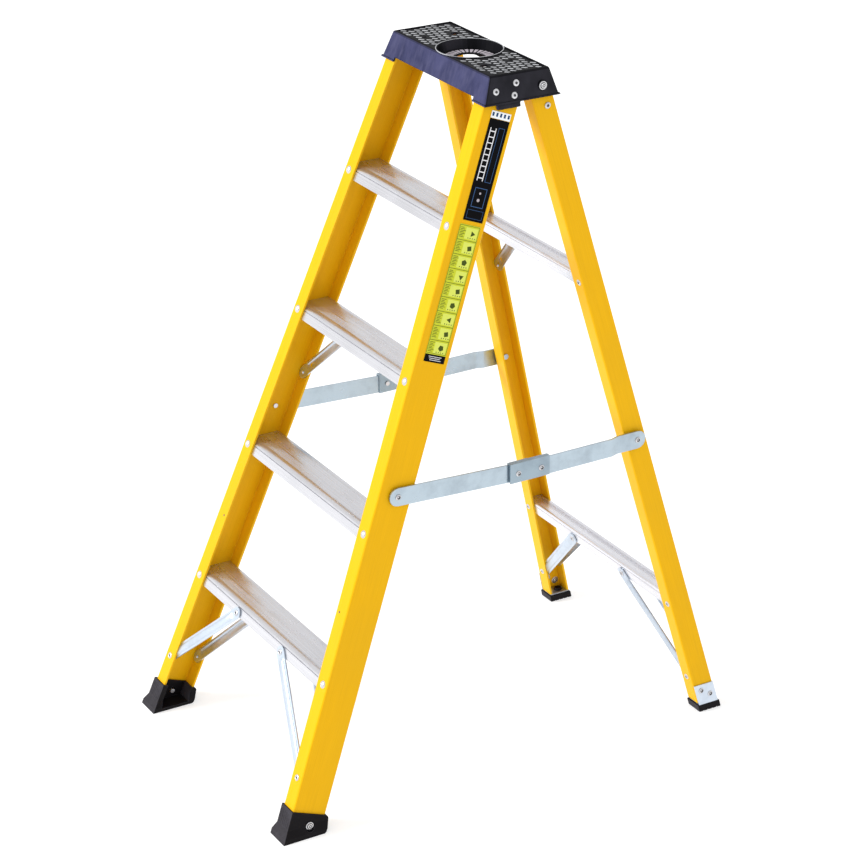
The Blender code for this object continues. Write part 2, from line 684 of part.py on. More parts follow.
def top_cap(rivets, rivet_axis):
    """Moulded cap: a drafted shell with a round tool recess in its top."""
    low_z = CAP_LIP_Z - CAP_TAB
    obj = add_object("top_cap", frustum_mesh(low_z, cap_section(low_z), CAP_TOP_Z, CAP_TOP),
                     "cap_plastic")
    soften(obj, 0.0030)
    band = [(z, tuple(value + sign * CAP_LIP_STEP for value, sign
                      in zip(cap_section(z), (1.0, -1.0, 1.0))))
            for z in (CAP_LIP_Z - 0.0030, CAP_LIP_Z + 0.0009)]
    boolean(obj, frustum_mesh(*band[0], *band[1]), "UNION")
    under = CAP_TOP_Z - CAP_PLATE
    cavity_low = low_z - 0.01
    boolean(obj, frustum_mesh(cavity_low, cavity_section(cavity_low),
                              under, cavity_section(under)))
    tab_front, tab_rear = 0.0395, 0.0790
    boolean(obj, box_mesh((-0.2, -0.1, low_z - 0.02), (0.2, tab_front, CAP_LIP_Z - 0.0015)))
    boolean(obj, box_mesh((-0.2, tab_rear, low_z - 0.02), (0.2, 0.3, CAP_LIP_Z - 0.0015)))
    boolean(obj, box_mesh((-0.1225, -0.1, low_z - 0.02), (0.1225, 0.05, CAP_LIP_Z + 0.0050)))
    shelf_z = CAP_TOP_Z - SHELF_DROP
    centre = Vector((*RECESS_CENTRE, 0.0))
    well = round_bar(centre + Vector((0, 0, shelf_z - 0.0025)),
                     centre + Vector((0, 0, under + 0.0010)), 0.0505, 0.0530, 40)
    boolean(obj, well, "UNION")
    recess = round_bar(centre + Vector((0, 0, shelf_z)),
                       centre + Vector((0, 0, CAP_TOP_Z + 0.0004)), 0.0480, RECESS_RADIUS, 40)
    boolean(obj, recess)
    drill(obj, centre + Vector((0, 0, shelf_z - 0.02)), centre + Vector((0, 0, shelf_z + 0.01)),
          SHELF_HOLE_RADIUS)
    for side in (-1.0, 1.0):
        boolean(obj, outline_mesh([panel_outline(side)], CAP_TOP_Z - 0.0014,
                                  CAP_TOP_Z + 0.002))
        boolean(obj, hinge_boss(side), "UNION")
        drill(obj, (side * 0.140, HINGE.y, HINGE.z), (side * 0.175, HINGE.y, HINGE.z), BOLT_HOLE)
        axis = Vector((side * rivet_axis.x, 0.0, rivet_axis.z))
        for rivet in rivets:
            seat = Vector((side * rivet.location.x, rivet.location.y, rivet.location.z))
            drill(obj, seat - axis * 0.012, seat + axis * 0.004, HOLE_RADIUS)
    for x, y, half in CAP_SLOTS:
        boolean(obj, box_mesh((x - half, y - half, under - 0.002),
                              (x + half, y + half, CAP_TOP_Z)))
    return obj


def hinge_boss(side):
    """Flat boss round the hinge bolt, square to its axis."""
    outer = cap_half_width(HINGE.z - 0.0078) + 0.0002
    return round_bar((side * (FRONT.web(HINGE.z) + 0.0014), HINGE.y, HINGE.z),
                     (side * outer, HINGE.y, HINGE.z), 0.0078)


def hinge_bolt():
    """Bolt on which the rear frame swings, with its nut inside the stile."""
    seat = Vector((cap_half_width(HINGE.z - 0.0078) + 0.0002, HINGE.y, HINGE.z))
    profile = rivet_profile(BOLT_SHANK, 0.0068, 0.0030, 0.0152, 0.0070)
    return turned("hinge_bolt", profile, seat, (1, 0, 0), "zinc_steel")


# ---------------------------------------------------------------- spreaders
def bar_frame(start, end):
    """Unit vectors along and above a bar, in (y, z)."""
    along = Vector((end.y - start.y, end.z - start.z)).normalized()
    return along, Vector((-along.y, along.x))


def front_bar():
    """Bar from the front stile to the knee, round at both ends."""
    start, end = SPREADER_FRONT, SPREADER_KNEE
    heading = math.degrees(math.atan2(end.z - start.z, end.y - start.y))
    outline = arc((start.y, start.z), BAR_HALF, heading + 90.0, heading + 270.0, 8)
    outline += arc((end.y, end.z), BAR_HALF, heading - 90.0, heading + 90.0, 8)
    holes = [circle((point.y, point.z), HOLE_RADIUS) for point in (start, end)]
    mesh = side_plate([outline] + holes, FRONT_BAR_X, FRONT_BAR_X + BAR_SHEET)
    return set_origin(add_object("spreader_front_bar", mesh, "zinc_steel"), start)


def rear_bar():
    """Bar from the knee to the rear stile, stepped inboard near its rear end."""
    start, end = SPREADER_KNEE, SPREADER_REAR
    along, above = bar_frame(start, end)
    heading = math.degrees(math.atan2(along.y, along.x))
    knee = Vector((start.y, start.z)) - along * 0.0140
    outline = [tuple(knee + above * BAR_HALF), tuple(knee - above * BAR_HALF)]
    outline += arc((end.y, end.z), BAR_HALF, heading - 90.0, heading + 90.0, 8)
    rivet = Vector((start.y, start.z)) + along * KNEE_RIVET_SPACING
    centres = [(start.y, start.z), tuple(rivet), (end.y, end.z)]
    holes = [circle(centre, HOLE_RADIUS) for centre in centres]
    mesh = side_plate([outline] + holes, REAR_BAR_X, REAR_BAR_X + BAR_SHEET)
    return set_origin(add_object("spreader_rear_bar", joggle(mesh, along), "zinc_steel"), start)


def joggle(mesh, along):
    """Step the last stretch of the rear bar towards the stile."""
    direction = Vector((0.0, along.x, along.y))
    step_end, step_start = 0.040, 0.054
    work = bmesh.new()
    work.from_mesh(mesh)
    for distance in (step_start, step_end):
        geometry = list(work.verts) + list(work.edges) + list(work.faces)
        bmesh.ops.bisect_plane(work, geom=geometry, dist=0.0000001,
                               plane_co=SPREADER_REAR - direction * distance,
                               plane_no=direction)
    for vertex in work.verts:
        reach = (SPREADER_REAR - vertex.co).dot(direction)
        share = (step_start - reach) / (step_start - step_end)
        vertex.co.x -= JOGGLE * min(max(share, 0.0), 1.0)
    bmesh.ops.triangulate(work, faces=work.faces)
    work.to_mesh(mesh)
    work.free()
    return mesh


def knee_clip():
    """U-shaped clip on the rear bar; its web stops the knee a little below straight."""
    along, above = bar_frame(SPREADER_KNEE, SPREADER_REAR)
    knee = Vector((SPREADER_KNEE.y, SPREADER_KNEE.z))
    web_low = BAR_HALF + 0.0012
    web_high = web_low + CLIP_SHEET
    start, end, inner_end = -0.0157, 0.0593, 0.0330
    x_in = FRONT_BAR_X - GAP - CLIP_SHEET
    x_out = REAR_BAR_X + BAR_SHEET + GAP + CLIP_SHEET
    mesh = outline_mesh([[(x_in, -BAR_HALF), (x_in + CLIP_SHEET, -BAR_HALF),
                          (x_in + CLIP_SHEET, web_low), (x_out - CLIP_SHEET, web_low),
                          (x_out - CLIP_SHEET, -BAR_HALF), (x_out, -BAR_HALF),
                          (x_out, web_high), (x_in, web_high)]], -end, -start)
    basis = Matrix(((1, 0, 0), (0, *above), (0, *-along))).transposed().to_4x4()
    mesh.transform(Matrix.Translation(SPREADER_KNEE) @ basis)
    obj = add_object("spreader_knee_clip", mesh, "zinc_steel")
    corner = [(inner_end, -0.03), (inner_end, 0.0040), (inner_end - 0.0140, 0.0215),
              (end + 0.01, 0.0215), (end + 0.01, -0.03)]
    corner = [tuple(knee + along * s + above * h) for s, h in corner]
    boolean(obj, side_plate([corner], x_in - 0.001, x_in + CLIP_SHEET + 0.0001))
    drill_x(obj, SPREADER_KNEE, x_in - 0.002, x_out + 0.002, HOLE_RADIUS)
    second = Vector((0.0, *(knee + along * KNEE_RIVET_SPACING)))
    return drill_x(obj, second, x_in - 0.002, x_out + 0.002, HOLE_RADIUS)


def knee_pivot():
    """Pin of the knee joint, through the clip and both bars."""
    x_out = REAR_BAR_X + BAR_SHEET + GAP + CLIP_SHEET
    grip = x_out - (FRONT_BAR_X - GAP - CLIP_SHEET) + GAP
    profile = rivet_profile(RIVET_SHANK, 0.0048, 0.0016, grip, 0.0040)
    seat = Vector((x_out, SPREADER_KNEE.y, SPREADER_KNEE.z))
    return turned("spreader_knee_pivot", profile, seat, (1, 0, 0), "zinc_steel")


def knee_rivet():
    """Rivet that fixes the clip to the rear bar, flush on its inboard side."""
    along, _ = bar_frame(SPREADER_KNEE, SPREADER_REAR)
    x_out = REAR_BAR_X + BAR_SHEET + GAP + CLIP_SHEET
    centre = Vector((SPREADER_KNEE.y, SPREADER_KNEE.z)) + along * KNEE_RIVET_SPACING
    profile = rivet_profile(RIVET_SHANK, 0.0048, 0.0016, x_out - REAR_BAR_X, None)
    return turned("spreader_knee_rivet", profile, Vector((x_out, *centre)), (1, 0, 0),
                  "zinc_steel")


def front_pivot():
    """Shouldered rivet that carries the front bar on the front stile."""
    seat = Vector((FRONT_BAR_X + BAR_SHEET, SPREADER_FRONT.y, SPREADER_FRONT.z))
    web = seat.x - FRONT.web(SPREADER_FRONT.z)
    collar = (0.0058, BAR_SHEET + GAP, web - 0.0009)
    profile = rivet_profile(RIVET_SHANK, 0.0052, 0.0018, web + FRONT.wall + 0.0008, 0.0048,
                            collar)
    return turned("spreader_front_pivot", profile, seat, (1, 0, 0), "zinc_steel")


def rear_pivot():
    """Rivet in the rear bar's end; the bush on the stile takes its load."""
    seat = Vector((REAR_BAR_X + BAR_SHEET - JOGGLE, SPREADER_REAR.y, SPREADER_REAR.z))
    profile = rivet_profile(RIVET_SHANK, 0.0052, 0.0018, BAR_SHEET, None)
    return turned("spreader_rear_pivot", profile, seat, (1, 0, 0), "zinc_steel")


def rear_bush():
    """Spacer between the rear bar and the stile's web, fixed through the web."""
    seat = Vector((REAR_BAR_X - JOGGLE - GAP, SPREADER_REAR.y, SPREADER_REAR.z))
    web = seat.x - REAR.web(SPREADER_REAR.z)
    grip = web + REAR.wall + 0.0008
    profile = [(0.0, 0.0), (0.0070, 0.0), (0.0070, -web + 0.0010), (RIVET_SHANK, -web + 0.0010),
               (RIVET_SHANK, -grip), (0.0052, -grip), (0.0052, -grip - 0.0016),
               (0.0, -grip - 0.0016)]
    return turned("spreader_rear_bush", profile, seat, (1, 0, 0), "zinc_steel")


# ---------------------------------------------------------------- labels
# name, height of the top edge, length, width, level distance of the middle line
# behind the web's front edge, material
LABELS = (
    ("label_scale_strip", 1.1175, 0.0114, 0.0362, 0.0369, "label_white"),
    ("label_panel_dark", 1.1061, 0.1616, 0.0366, 0.0372, "label_black"),
    ("label_panel_green", 0.9495, 0.2218, 0.0382, 0.0356, "label_green"),
)


def label(name, top_z, length, width, inset, material):
    """Thin film on the right front stile's outer web, square to the stile."""
    along = Vector((FRONT.lean, 1.0)) / FRONT.slope
    across = Vector((1.0, -FRONT.lean)) / FRONT.slope
    top = Vector((FRONT.front(top_z) + inset, top_z))
    corners = [top - across * width / 2, top + across * width / 2,
               top + across * width / 2 - along * length,
               top - across * width / 2 - along * length]
    x_in = FRONT.half_width + GAP
    mesh = side_plate([[tuple(corner) for corner in corners]], x_in, x_in + 0.0004)
    return add_object(name, taper_only(mesh, FRONT), material)


# ---------------------------------------------------------------- assembly
def build():
    rivets, rivet_axis = cap_rivets()
    top_cap(rivets, rivet_axis)
    treads()
    crossbars()
    for row in LABELS:
        label(*row)
    pairs = [front_stile(rivets, rivet_axis), rear_stile(), top_rivet(), hinge_bolt(),
             boot(), boot_bolt(), rear_pad(), foot_bracket(), front_bar(), rear_bar(),
             knee_clip(), knee_pivot(), knee_rivet(), front_pivot(), rear_pivot(),
             rear_bush()]
    pairs += [brace(*row) for row in BRACES]
    for piece in pairs + rivets:
        both_sides(piece)
    for obj in bpy.data.objects:
        obj.location.y -= BASE_CENTRE_Y
    carry("rear_frame", HINGE, ("rear_", "brace_crossbar", "spreader_rear_bush"))
    for side in ("_left", "_right"):
        carry("spreader_front" + side, SPREADER_FRONT, ("spreader_front_bar",), side)
        carry("spreader_rear" + side, SPREADER_KNEE,
              ("spreader_knee", "spreader_rear_bar", "spreader_rear_pivot"), side)


build()
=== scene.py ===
"""Looks of the folding step ladder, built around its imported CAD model.

Metres, +Z up; a climber faces +Y.  Each stile's outer web lies at
x = half_width - taper * z, and the front faces of a frame's flanges at
y = foot_y + lean * z, as in the CAD.
"""

import json
import math

import bmesh
import bpy
from mathutils import Matrix, Vector

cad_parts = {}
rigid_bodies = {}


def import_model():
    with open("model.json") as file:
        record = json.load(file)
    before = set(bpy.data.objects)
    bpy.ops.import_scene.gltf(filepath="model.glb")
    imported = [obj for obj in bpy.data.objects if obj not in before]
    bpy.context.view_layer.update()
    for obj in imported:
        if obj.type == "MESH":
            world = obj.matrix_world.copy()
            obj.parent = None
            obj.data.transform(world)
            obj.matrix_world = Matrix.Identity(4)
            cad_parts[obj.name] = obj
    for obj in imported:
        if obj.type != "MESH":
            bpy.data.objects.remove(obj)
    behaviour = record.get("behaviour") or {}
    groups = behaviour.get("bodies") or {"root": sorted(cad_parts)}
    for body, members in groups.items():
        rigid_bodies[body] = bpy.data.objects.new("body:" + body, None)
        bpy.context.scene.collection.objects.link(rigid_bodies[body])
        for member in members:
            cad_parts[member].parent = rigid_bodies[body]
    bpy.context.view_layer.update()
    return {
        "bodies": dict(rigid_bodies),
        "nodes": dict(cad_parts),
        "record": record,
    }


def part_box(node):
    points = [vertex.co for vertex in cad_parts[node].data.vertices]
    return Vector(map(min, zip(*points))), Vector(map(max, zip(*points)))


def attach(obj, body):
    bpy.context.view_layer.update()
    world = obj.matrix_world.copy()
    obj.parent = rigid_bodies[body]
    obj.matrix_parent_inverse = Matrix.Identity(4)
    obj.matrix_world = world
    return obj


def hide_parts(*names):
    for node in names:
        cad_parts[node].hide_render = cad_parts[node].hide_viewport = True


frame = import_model()


# ---------------------------------------------------------------- the ladder's layout
class Stiles:
    """One of the ladder's two frames: a pair of channel-section stiles.

    foot_y and half_width hold at the floor; lean and taper are per metre of height.
    """

    def __init__(self, body, foot_y, lean, half_width, taper, depth, wall):
        self.body = body
        self.foot_y = foot_y
        self.lean = lean
        self.half_width = half_width
        self.taper = taper
        self.depth = depth              # front face to rear face, measured level
        self.wall = wall
        self.slope = math.hypot(1.0, lean)

    def web(self, z):
        return self.half_width - self.taper * z

    def front(self, z):
        return self.foot_y + self.lean * z

    def at(self, x, z, inward):
        """Point at height z, `inward` behind the plane of the front flanges."""
        return Vector((x, self.front(z) + inward * self.slope, z))

    def normal(self):
        """Direction through the flanges, from the front one to the rear one."""
        return Vector((0.0, 1.0, -self.lean)) / self.slope

    def true_depth(self):
        return self.depth / self.slope


FRONT = Stiles("front_frame", -0.4290, 0.3773, 0.2585, 0.0930, 0.0653, 0.0035)
REAR = Stiles("rear_frame", 0.3892, -0.2687, 0.2525, 0.0890, 0.0402, 0.0035)
SIDES = {"left": -1.0, "right": 1.0}
NODES = frame["nodes"]


# ---------------------------------------------------------------- material helpers
class Surface:
    """A Principled material and short calls that add nodes to it.
    """

    def __init__(self, name, colour, roughness, metallic=0.0, **sockets):
        self.material = bpy.data.materials.new(name)
        self.material.use_nodes = True
        self.tree = self.material.node_tree
        self.shader = self.tree.nodes["Principled BSDF"]
        self.set(self.shader, {"Base Color": colour, "Roughness": roughness,
                               "Metallic": metallic, **sockets})
        self.place = self.node("ShaderNodeTexCoord").outputs["Object"]

    def set(self, node, values):
        for key, value in values.items():
            socket = node.inputs[key]
            if isinstance(value, bpy.types.NodeSocket):
                self.tree.links.new(value, socket)
            elif socket.type == "RGBA":
                socket.default_value = (*value, 1.0)
            else:
                socket.default_value = value

    def node(self, kind, inputs=None, **settings):
        made = self.tree.nodes.new(kind)
        for key, value in settings.items():
            setattr(made, key, value)
        self.set(made, inputs or {})
        return made

    def math(self, operation, a, b=0.0):
        return self.node("ShaderNodeMath", {0: a, 1: b}, operation=operation).outputs[0]

    def split(self, vector):
        return self.node("ShaderNodeSeparateXYZ", {0: vector}).outputs

    def join(self, x, y, z):
        return self.node("ShaderNodeCombineXYZ", {0: x, 1: y, 2: z}).outputs[0]

    def stretch(self, factors):
        return self.node("ShaderNodeVectorMath", {0: self.place, 1: factors},
                         operation="MULTIPLY").outputs[0]

    def noise(self, scale, vector=None, detail=3.0, roughness=0.55):
        return self.node("ShaderNodeTexNoise", {"Vector": vector or self.place, "Scale": scale,
                                                "Detail": detail, "Roughness": roughness}
                         ).outputs["Fac"]

    def ramp(self, factor, low, high, to_low=0.0, to_high=1.0):
        """Map low..high of a value to another range, clamped."""
        return self.node("ShaderNodeMapRange",
                         {"Value": factor, "From Min": low, "From Max": high,
                          "To Min": to_low, "To Max": to_high}).outputs["Result"]

    def mix(self, factor, a, b):
        return self.node("ShaderNodeMix", {0: factor, 6: a, 7: b}, data_type="RGBA").outputs[2]

    def bump(self, height, distance):
        return self.node("ShaderNodeBump", {"Height": height, "Distance": distance,
                                            "Strength": 1.0}).outputs["Normal"]

    def edges(self, radius):
        """1 on edges and 0 elsewhere, from how far a bevel would turn the surface."""
        bevel = self.node("ShaderNodeBevel", {"Radius": radius}, samples=4).outputs[0]
        flat = self.node("ShaderNodeNewGeometry").outputs["Normal"]
        same = self.node("ShaderNodeVectorMath", {0: bevel, 1: flat}, operation="DOT_PRODUCT")
        return self.ramp(same.outputs["Value"], 0.98, 0.80)

    def finish(self, **links):
        self.set(self.shader, {key.replace("_", " "): value for key, value in links.items()})
        return self.material


def along_stile(surface, stiles):
    """Coordinates that run with a stile: across x, through y and along z."""
    x, y, z = surface.split(surface.place)
    across = surface.math("ADD", surface.math("ABSOLUTE", x),
                          surface.math("MULTIPLY", z, stiles.taper))
    through = surface.math("SUBTRACT", y, surface.math("MULTIPLY", z, stiles.lean))
    return across, through, z


# ---------------------------------------------------------------- materials
def fibreglass(name, stiles):
    """Pultruded yellow resin: gloss skin, glass strands and grain along the length."""
    s = Surface(name, (0.82, 0.44, 0.004), 0.34, **{"Specular IOR Level": 0.08})
    across, through, z = along_stile(s, stiles)
    strands = s.noise(1.0, s.join(s.math("MULTIPLY", across, 700.0),
                                  s.math("MULTIPLY", through, 700.0),
                                  s.math("MULTIPLY", z, 11.0)), detail=4.0)
    clouds = s.noise(7.0, detail=3.0)
    peel = s.noise(380.0, detail=2.0)
    tone = s.mix(s.ramp(strands, 0.30, 0.72), (0.77, 0.41, 0.003), (0.84, 0.46, 0.004))
    tone = s.mix(s.ramp(clouds, 0.38, 0.68, 0.0, 0.30), tone, (0.69, 0.39, 0.010))
    worn = s.mix(s.math("MULTIPLY", s.edges(0.0016), s.ramp(clouds, 0.40, 0.60, 0.25, 0.9)),
                 tone, (0.86, 0.56, 0.04))
    height = s.math("ADD", s.math("MULTIPLY", strands, 0.6), s.math("MULTIPLY", peel, 0.4))
    return s.finish(Base_Color=worn, Roughness=s.ramp(strands, 0.2, 0.8, 0.28, 0.42),
                    Normal=s.bump(height, 0.00010))


def rolled_aluminium(name, low, high, scuffed):
    """Extruded alloy: satin, with drawing lines along the bar and light scuffs."""
    s = Surface(name, high, 0.26, 0.88)
    drawn = s.noise(1.0, s.stretch((1.2, 420.0, 420.0)), detail=2.0)
    scuffs = s.noise(30.0, s.stretch((0.5, 1.6, 1.6)), detail=4.0)
    patches = s.noise(12.0, detail=2.0)
    tone = s.mix(s.ramp(drawn, 0.3, 0.7), low, high)
    tone = s.mix(s.ramp(scuffs, 0.52, 0.74, 0.0, 0.40), tone, scuffed)
    rough = s.math("ADD", s.ramp(patches, 0.3, 0.7, 0.20, 0.28),
                   s.ramp(scuffs, 0.5, 0.7, 0.0, 0.08))
    return s.finish(Base_Color=tone, Roughness=rough, Normal=s.bump(drawn, 0.00001))


def zinc_plate(name, tint=(0.42, 0.50, 0.56), dull=(0.27, 0.32, 0.37)):
    """Bright zinc on pressed steel: cool, faintly clouded, with fine scratches."""
    s = Surface(name, tint, 0.30, 0.92)
    cells = s.node("ShaderNodeTexVoronoi", {"Vector": s.place, "Scale": 190.0})
    grain = s.split(cells.outputs["Color"])[0]
    smear = s.noise(22.0, detail=5.0, roughness=0.65)
    scratch = s.noise(1.0, s.stretch((700.0, 60.0, 700.0)), detail=2.0)
    light = tuple(min(1.0, part * 1.08) for part in tint)
    tone = s.mix(s.ramp(grain, 0.0, 1.0, 0.35, 0.65), tint, light)
    tone = s.mix(s.ramp(smear, 0.46, 0.72, 0.0, 0.55), tone, dull)
    rough = s.math("ADD", s.ramp(grain, 0.0, 1.0, 0.27, 0.32),
                   s.ramp(smear, 0.4, 0.7, 0.0, 0.10))
    return s.finish(Base_Color=tone, Roughness=rough, Normal=s.bump(scratch, 0.00003))


def moulded_cap(name):
    """Black moulding with a fine spark-eroded texture, and painted light by which way each face turns:
    sides painted lighter than the top, a painted bluish sheen on the front, and painted shade darkening
    its edges.
    """
    s = Surface(name, (0.012, 0.012, 0.015), 0.42, **{"Specular IOR Level": 0.04})
    grain = s.noise(900.0, detail=2.0)
    flow = s.noise(26.0, s.stretch((1.0, 1.0, 0.55)), detail=4.0, roughness=0.6)
    sheen_streaks = s.noise(1.0, s.stretch((95.0, 95.0, 9.0)), detail=3.0)
    normal = s.split(s.node("ShaderNodeNewGeometry").outputs["Normal"])
    sideways, facing = s.math("ABSOLUTE", normal[0]), normal[1]
    outside = s.ramp(s.split(s.place)[1], 0.0200, 0.0210, 1.0, 0.0)
    # Faces of the outer front, which take the painted sheen.
    front = s.math("MULTIPLY", s.ramp(facing, -0.70, -0.88), outside)
    dark = s.mix(s.ramp(flow, 0.35, 0.72), (0.004, 0.004, 0.005), (0.008, 0.008, 0.011))
    # Painted light: faces turned sideways are painted lighter than the top.
    side = s.mix(s.ramp(flow, 0.30, 0.70), (0.016, 0.016, 0.020), (0.032, 0.031, 0.040))
    dark = s.mix(s.ramp(sideways, 0.80, 0.94), dark, side)
    # Painted bluish sheen on the front faces, mottled and streaked.
    painted_front_sheen = s.mix(s.ramp(flow, 0.30, 0.70), (0.026, 0.028, 0.072), (0.062, 0.064, 0.140))
    painted_front_sheen = s.mix(s.ramp(sheen_streaks, 0.45, 0.75, 0.0, 0.6), painted_front_sheen, (0.080, 0.080, 0.150))
    tone = s.mix(front, dark, painted_front_sheen)
    # Painted shade: the cap's edges darkened to near black.
    tone = s.mix(s.edges(0.0012), tone, (0.004, 0.004, 0.005))
    return s.finish(Base_Color=tone, Roughness=s.ramp(flow, 0.3, 0.7, 0.40, 0.54),
                    Normal=s.bump(grain, 0.00006))


def cap_highlight(name):
    """The same black moulding, coloured light grey as a painted highlight on its raised marks."""
    s = Surface(name, (0.30, 0.31, 0.33), 0.40)
    wear_and_highlight = s.noise(60.0, detail=5.0, roughness=0.7)
    grain = s.noise(800.0, detail=2.0)
    # Painted highlight, mottled from mid to light grey.
    tone = s.mix(s.ramp(wear_and_highlight, 0.35, 0.68), (0.24, 0.245, 0.26), (0.58, 0.59, 0.61))
    return s.finish(Base_Color=tone, Roughness=s.ramp(wear_and_highlight, 0.3, 0.7, 0.34, 0.52),
                    Normal=s.bump(grain, 0.00005))


def foot_rubber(name):
    """Moulded rubber: matt and a little dusty, paler along its edges, with painted light that makes
    faces turned to the front lighter and violet-grey.
    """
    s = Surface(name, (0.006, 0.006, 0.006), 0.58, **{"Specular IOR Level": 0.10})
    grain = s.noise(700.0, detail=3.0)
    dust_and_painted_light = s.noise(45.0, detail=6.0, roughness=0.7)
    facing = s.split(s.node("ShaderNodeNewGeometry").outputs["Normal"])[1]
    front = s.ramp(facing, -0.35, -0.90)
    tone = s.mix(s.ramp(dust_and_painted_light, 0.50, 0.80, 0.0, 0.5), (0.006, 0.005, 0.006),
                 (0.016, 0.014, 0.017))
    # Painted light: faces turned to the front painted lighter and violet-grey, in patches.
    tone = s.mix(s.math("MULTIPLY", front, s.ramp(dust_and_painted_light, 0.3, 0.7, 0.35, 0.9)),
                 tone, (0.050, 0.046, 0.054))
    tone = s.mix(s.math("MULTIPLY", s.edges(0.0012), s.ramp(dust_and_painted_light, 0.35, 0.65, 0.1, 0.8)),
                 tone, (0.07, 0.07, 0.09))
    return s.finish(Base_Color=tone, Roughness=s.ramp(dust_and_painted_light, 0.3, 0.7, 0.46, 0.68),
                    Normal=s.bump(grain, 0.00012))


def printed_film(name, colour, rubbed_to, gloss=0.30, shine=0.12):
    """Vinyl film or ink on it, with a slight orange peel and rubbed patches."""
    s = Surface(name, colour, gloss, **{"Specular IOR Level": shine})
    peel = s.noise(300.0, detail=2.0)
    wear_and_highlight = s.noise(90.0, detail=6.0, roughness=0.7)
    tone = s.mix(s.ramp(wear_and_highlight, 0.56, 0.76, 0.0, 0.45), colour, rubbed_to)
    return s.finish(Base_Color=tone, Normal=s.bump(peel, 0.00003),
                    Roughness=s.ramp(wear_and_highlight, 0.3, 0.7, gloss - 0.05, gloss + 0.08))


MATERIALS = {
    "front_fibreglass": fibreglass("front_fibreglass", FRONT),
    "rear_fibreglass": fibreglass("rear_fibreglass", REAR),
    "aluminium": rolled_aluminium("aluminium", (0.62, 0.62, 0.65), (0.70, 0.70, 0.73),
                                  (0.54, 0.54, 0.57)),
    "bright_aluminium": rolled_aluminium("bright_aluminium", (0.72, 0.72, 0.76),
                                         (0.80, 0.80, 0.84), (0.62, 0.62, 0.66)),
    "zinc_steel": zinc_plate("zinc_steel"),
    "brace_zinc": zinc_plate("brace_zinc", (0.57, 0.64, 0.73), (0.42, 0.48, 0.56)),
    "clip_zinc": zinc_plate("clip_zinc", (0.30, 0.375, 0.43), (0.22, 0.27, 0.32)),
    "rivet_alloy": zinc_plate("rivet_alloy", (0.62, 0.62, 0.64), (0.45, 0.45, 0.48)),
    # Also painted shade: rivet hollows, bolt drives and the gaps under heads take this dark material.
    "dark_steel": zinc_plate("dark_steel", (0.10, 0.10, 0.105), (0.05, 0.05, 0.05)),
    "cap_plastic": moulded_cap("cap_plastic"),
    # Painted highlight for the cap's raised dashes and the bead round its recess.
    "cap_highlight": cap_highlight("cap_highlight"),
    "rubber": foot_rubber("rubber"),
    "label_black": printed_film("label_black", (0.003, 0.003, 0.004), (0.010, 0.009, 0.014),
                                shine=0.04),
    "label_white": printed_film("label_white", (0.86, 0.90, 0.93), (0.66, 0.70, 0.76)),
    "label_green": printed_film("label_green", (0.56, 0.60, 0.030), (0.44, 0.50, 0.08)),
    "ink_blue": printed_film("ink_blue", (0.010, 0.050, 0.14), (0.04, 0.10, 0.20)),
    "ink_pale": printed_film("ink_pale", (0.78, 0.78, 0.80), (0.50, 0.50, 0.52)),
    "ink_outline": printed_film("ink_outline", (0.045, 0.11, 0.26), (0.02, 0.05, 0.12)),
    "ink_olive": printed_film("ink_olive", (0.055, 0.080, 0.008), (0.12, 0.16, 0.02)),
    "ink_lime": printed_film("ink_lime", (0.68, 0.75, 0.12), (0.52, 0.58, 0.12)),
    "shelf_print": printed_film("shelf_print", (0.46, 0.42, 0.46), (0.25, 0.23, 0.26), 0.45),
}


def node_material(node):
    """The material that a CAD node shows, from its slot in the record."""
    slots = {row["node"]: row["material_slot"] for row in frame["record"]["subparts"]}
    slot = slots[node]
    if slot == "fibreglass":
        slot = "front_fibreglass" if node.startswith("front") else "rear_fibreglass"
    if "knee_clip" in node:
        slot = "clip_zinc"
    if "foot_bracket" in node:
        slot = "brace_zinc"
    return MATERIALS[slot]


def dress_cad_nodes():
    for name, obj in NODES.items():
        obj.data.materials.clear()
        obj.data.materials.append(node_material(name))


# ---------------------------------------------------------------- building pieces
GAP = 0.0003                 # the CAD's clearance between pieces that touch
SHEET = 0.0020               # thickness of tread, crossbar and brace metal


def arc(centre, radius, start, end, steps):
    """Points on an arc between two angles in degrees."""
    angles = [math.radians(start + (end - start) * i / steps) for i in range(steps + 1)]
    return [(centre[0] + radius * math.cos(a), centre[1] + radius * math.sin(a))
            for a in angles]


def facing(point, axis):
    """Matrix that stands a piece drawn along +Z at a point, along another axis."""
    turn = Vector(axis).to_track_quat("Z", "Y").to_matrix().to_4x4()
    return Matrix.Translation(point) @ turn


def add_piece(name, work, materials, body, nodes=(), smooth=32.0):
    """Turn a bmesh into a piece that rides on a body and may replace CAD nodes."""
    bmesh.ops.recalc_face_normals(work, faces=work.faces)
    mesh = bpy.data.meshes.new(name)
    work.to_mesh(mesh)
    work.free()
    mesh.shade_smooth()
    mesh.set_sharp_from_angle(angle=math.radians(smooth))
    for material in materials:
        mesh.materials.append(MATERIALS[material])
    obj = bpy.data.objects.new(name, mesh)
    bpy.context.scene.collection.objects.link(obj)
    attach(obj, body)
    if nodes:
        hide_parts(*nodes)
    return obj


def bridge(work, first, second, material=0):
    """Quads or triangles between two rings; a ring of one vertex is a point."""
    steps = max(len(first), len(second))
    for i in range(steps):
        corners = [first[i % len(first)], second[i % len(second)],
                   second[(i + 1) % len(second)], first[(i + 1) % len(first)]]
        corners = list(dict.fromkeys(corners))
        if len(corners) > 2:
            work.faces.new(corners).material_index = material


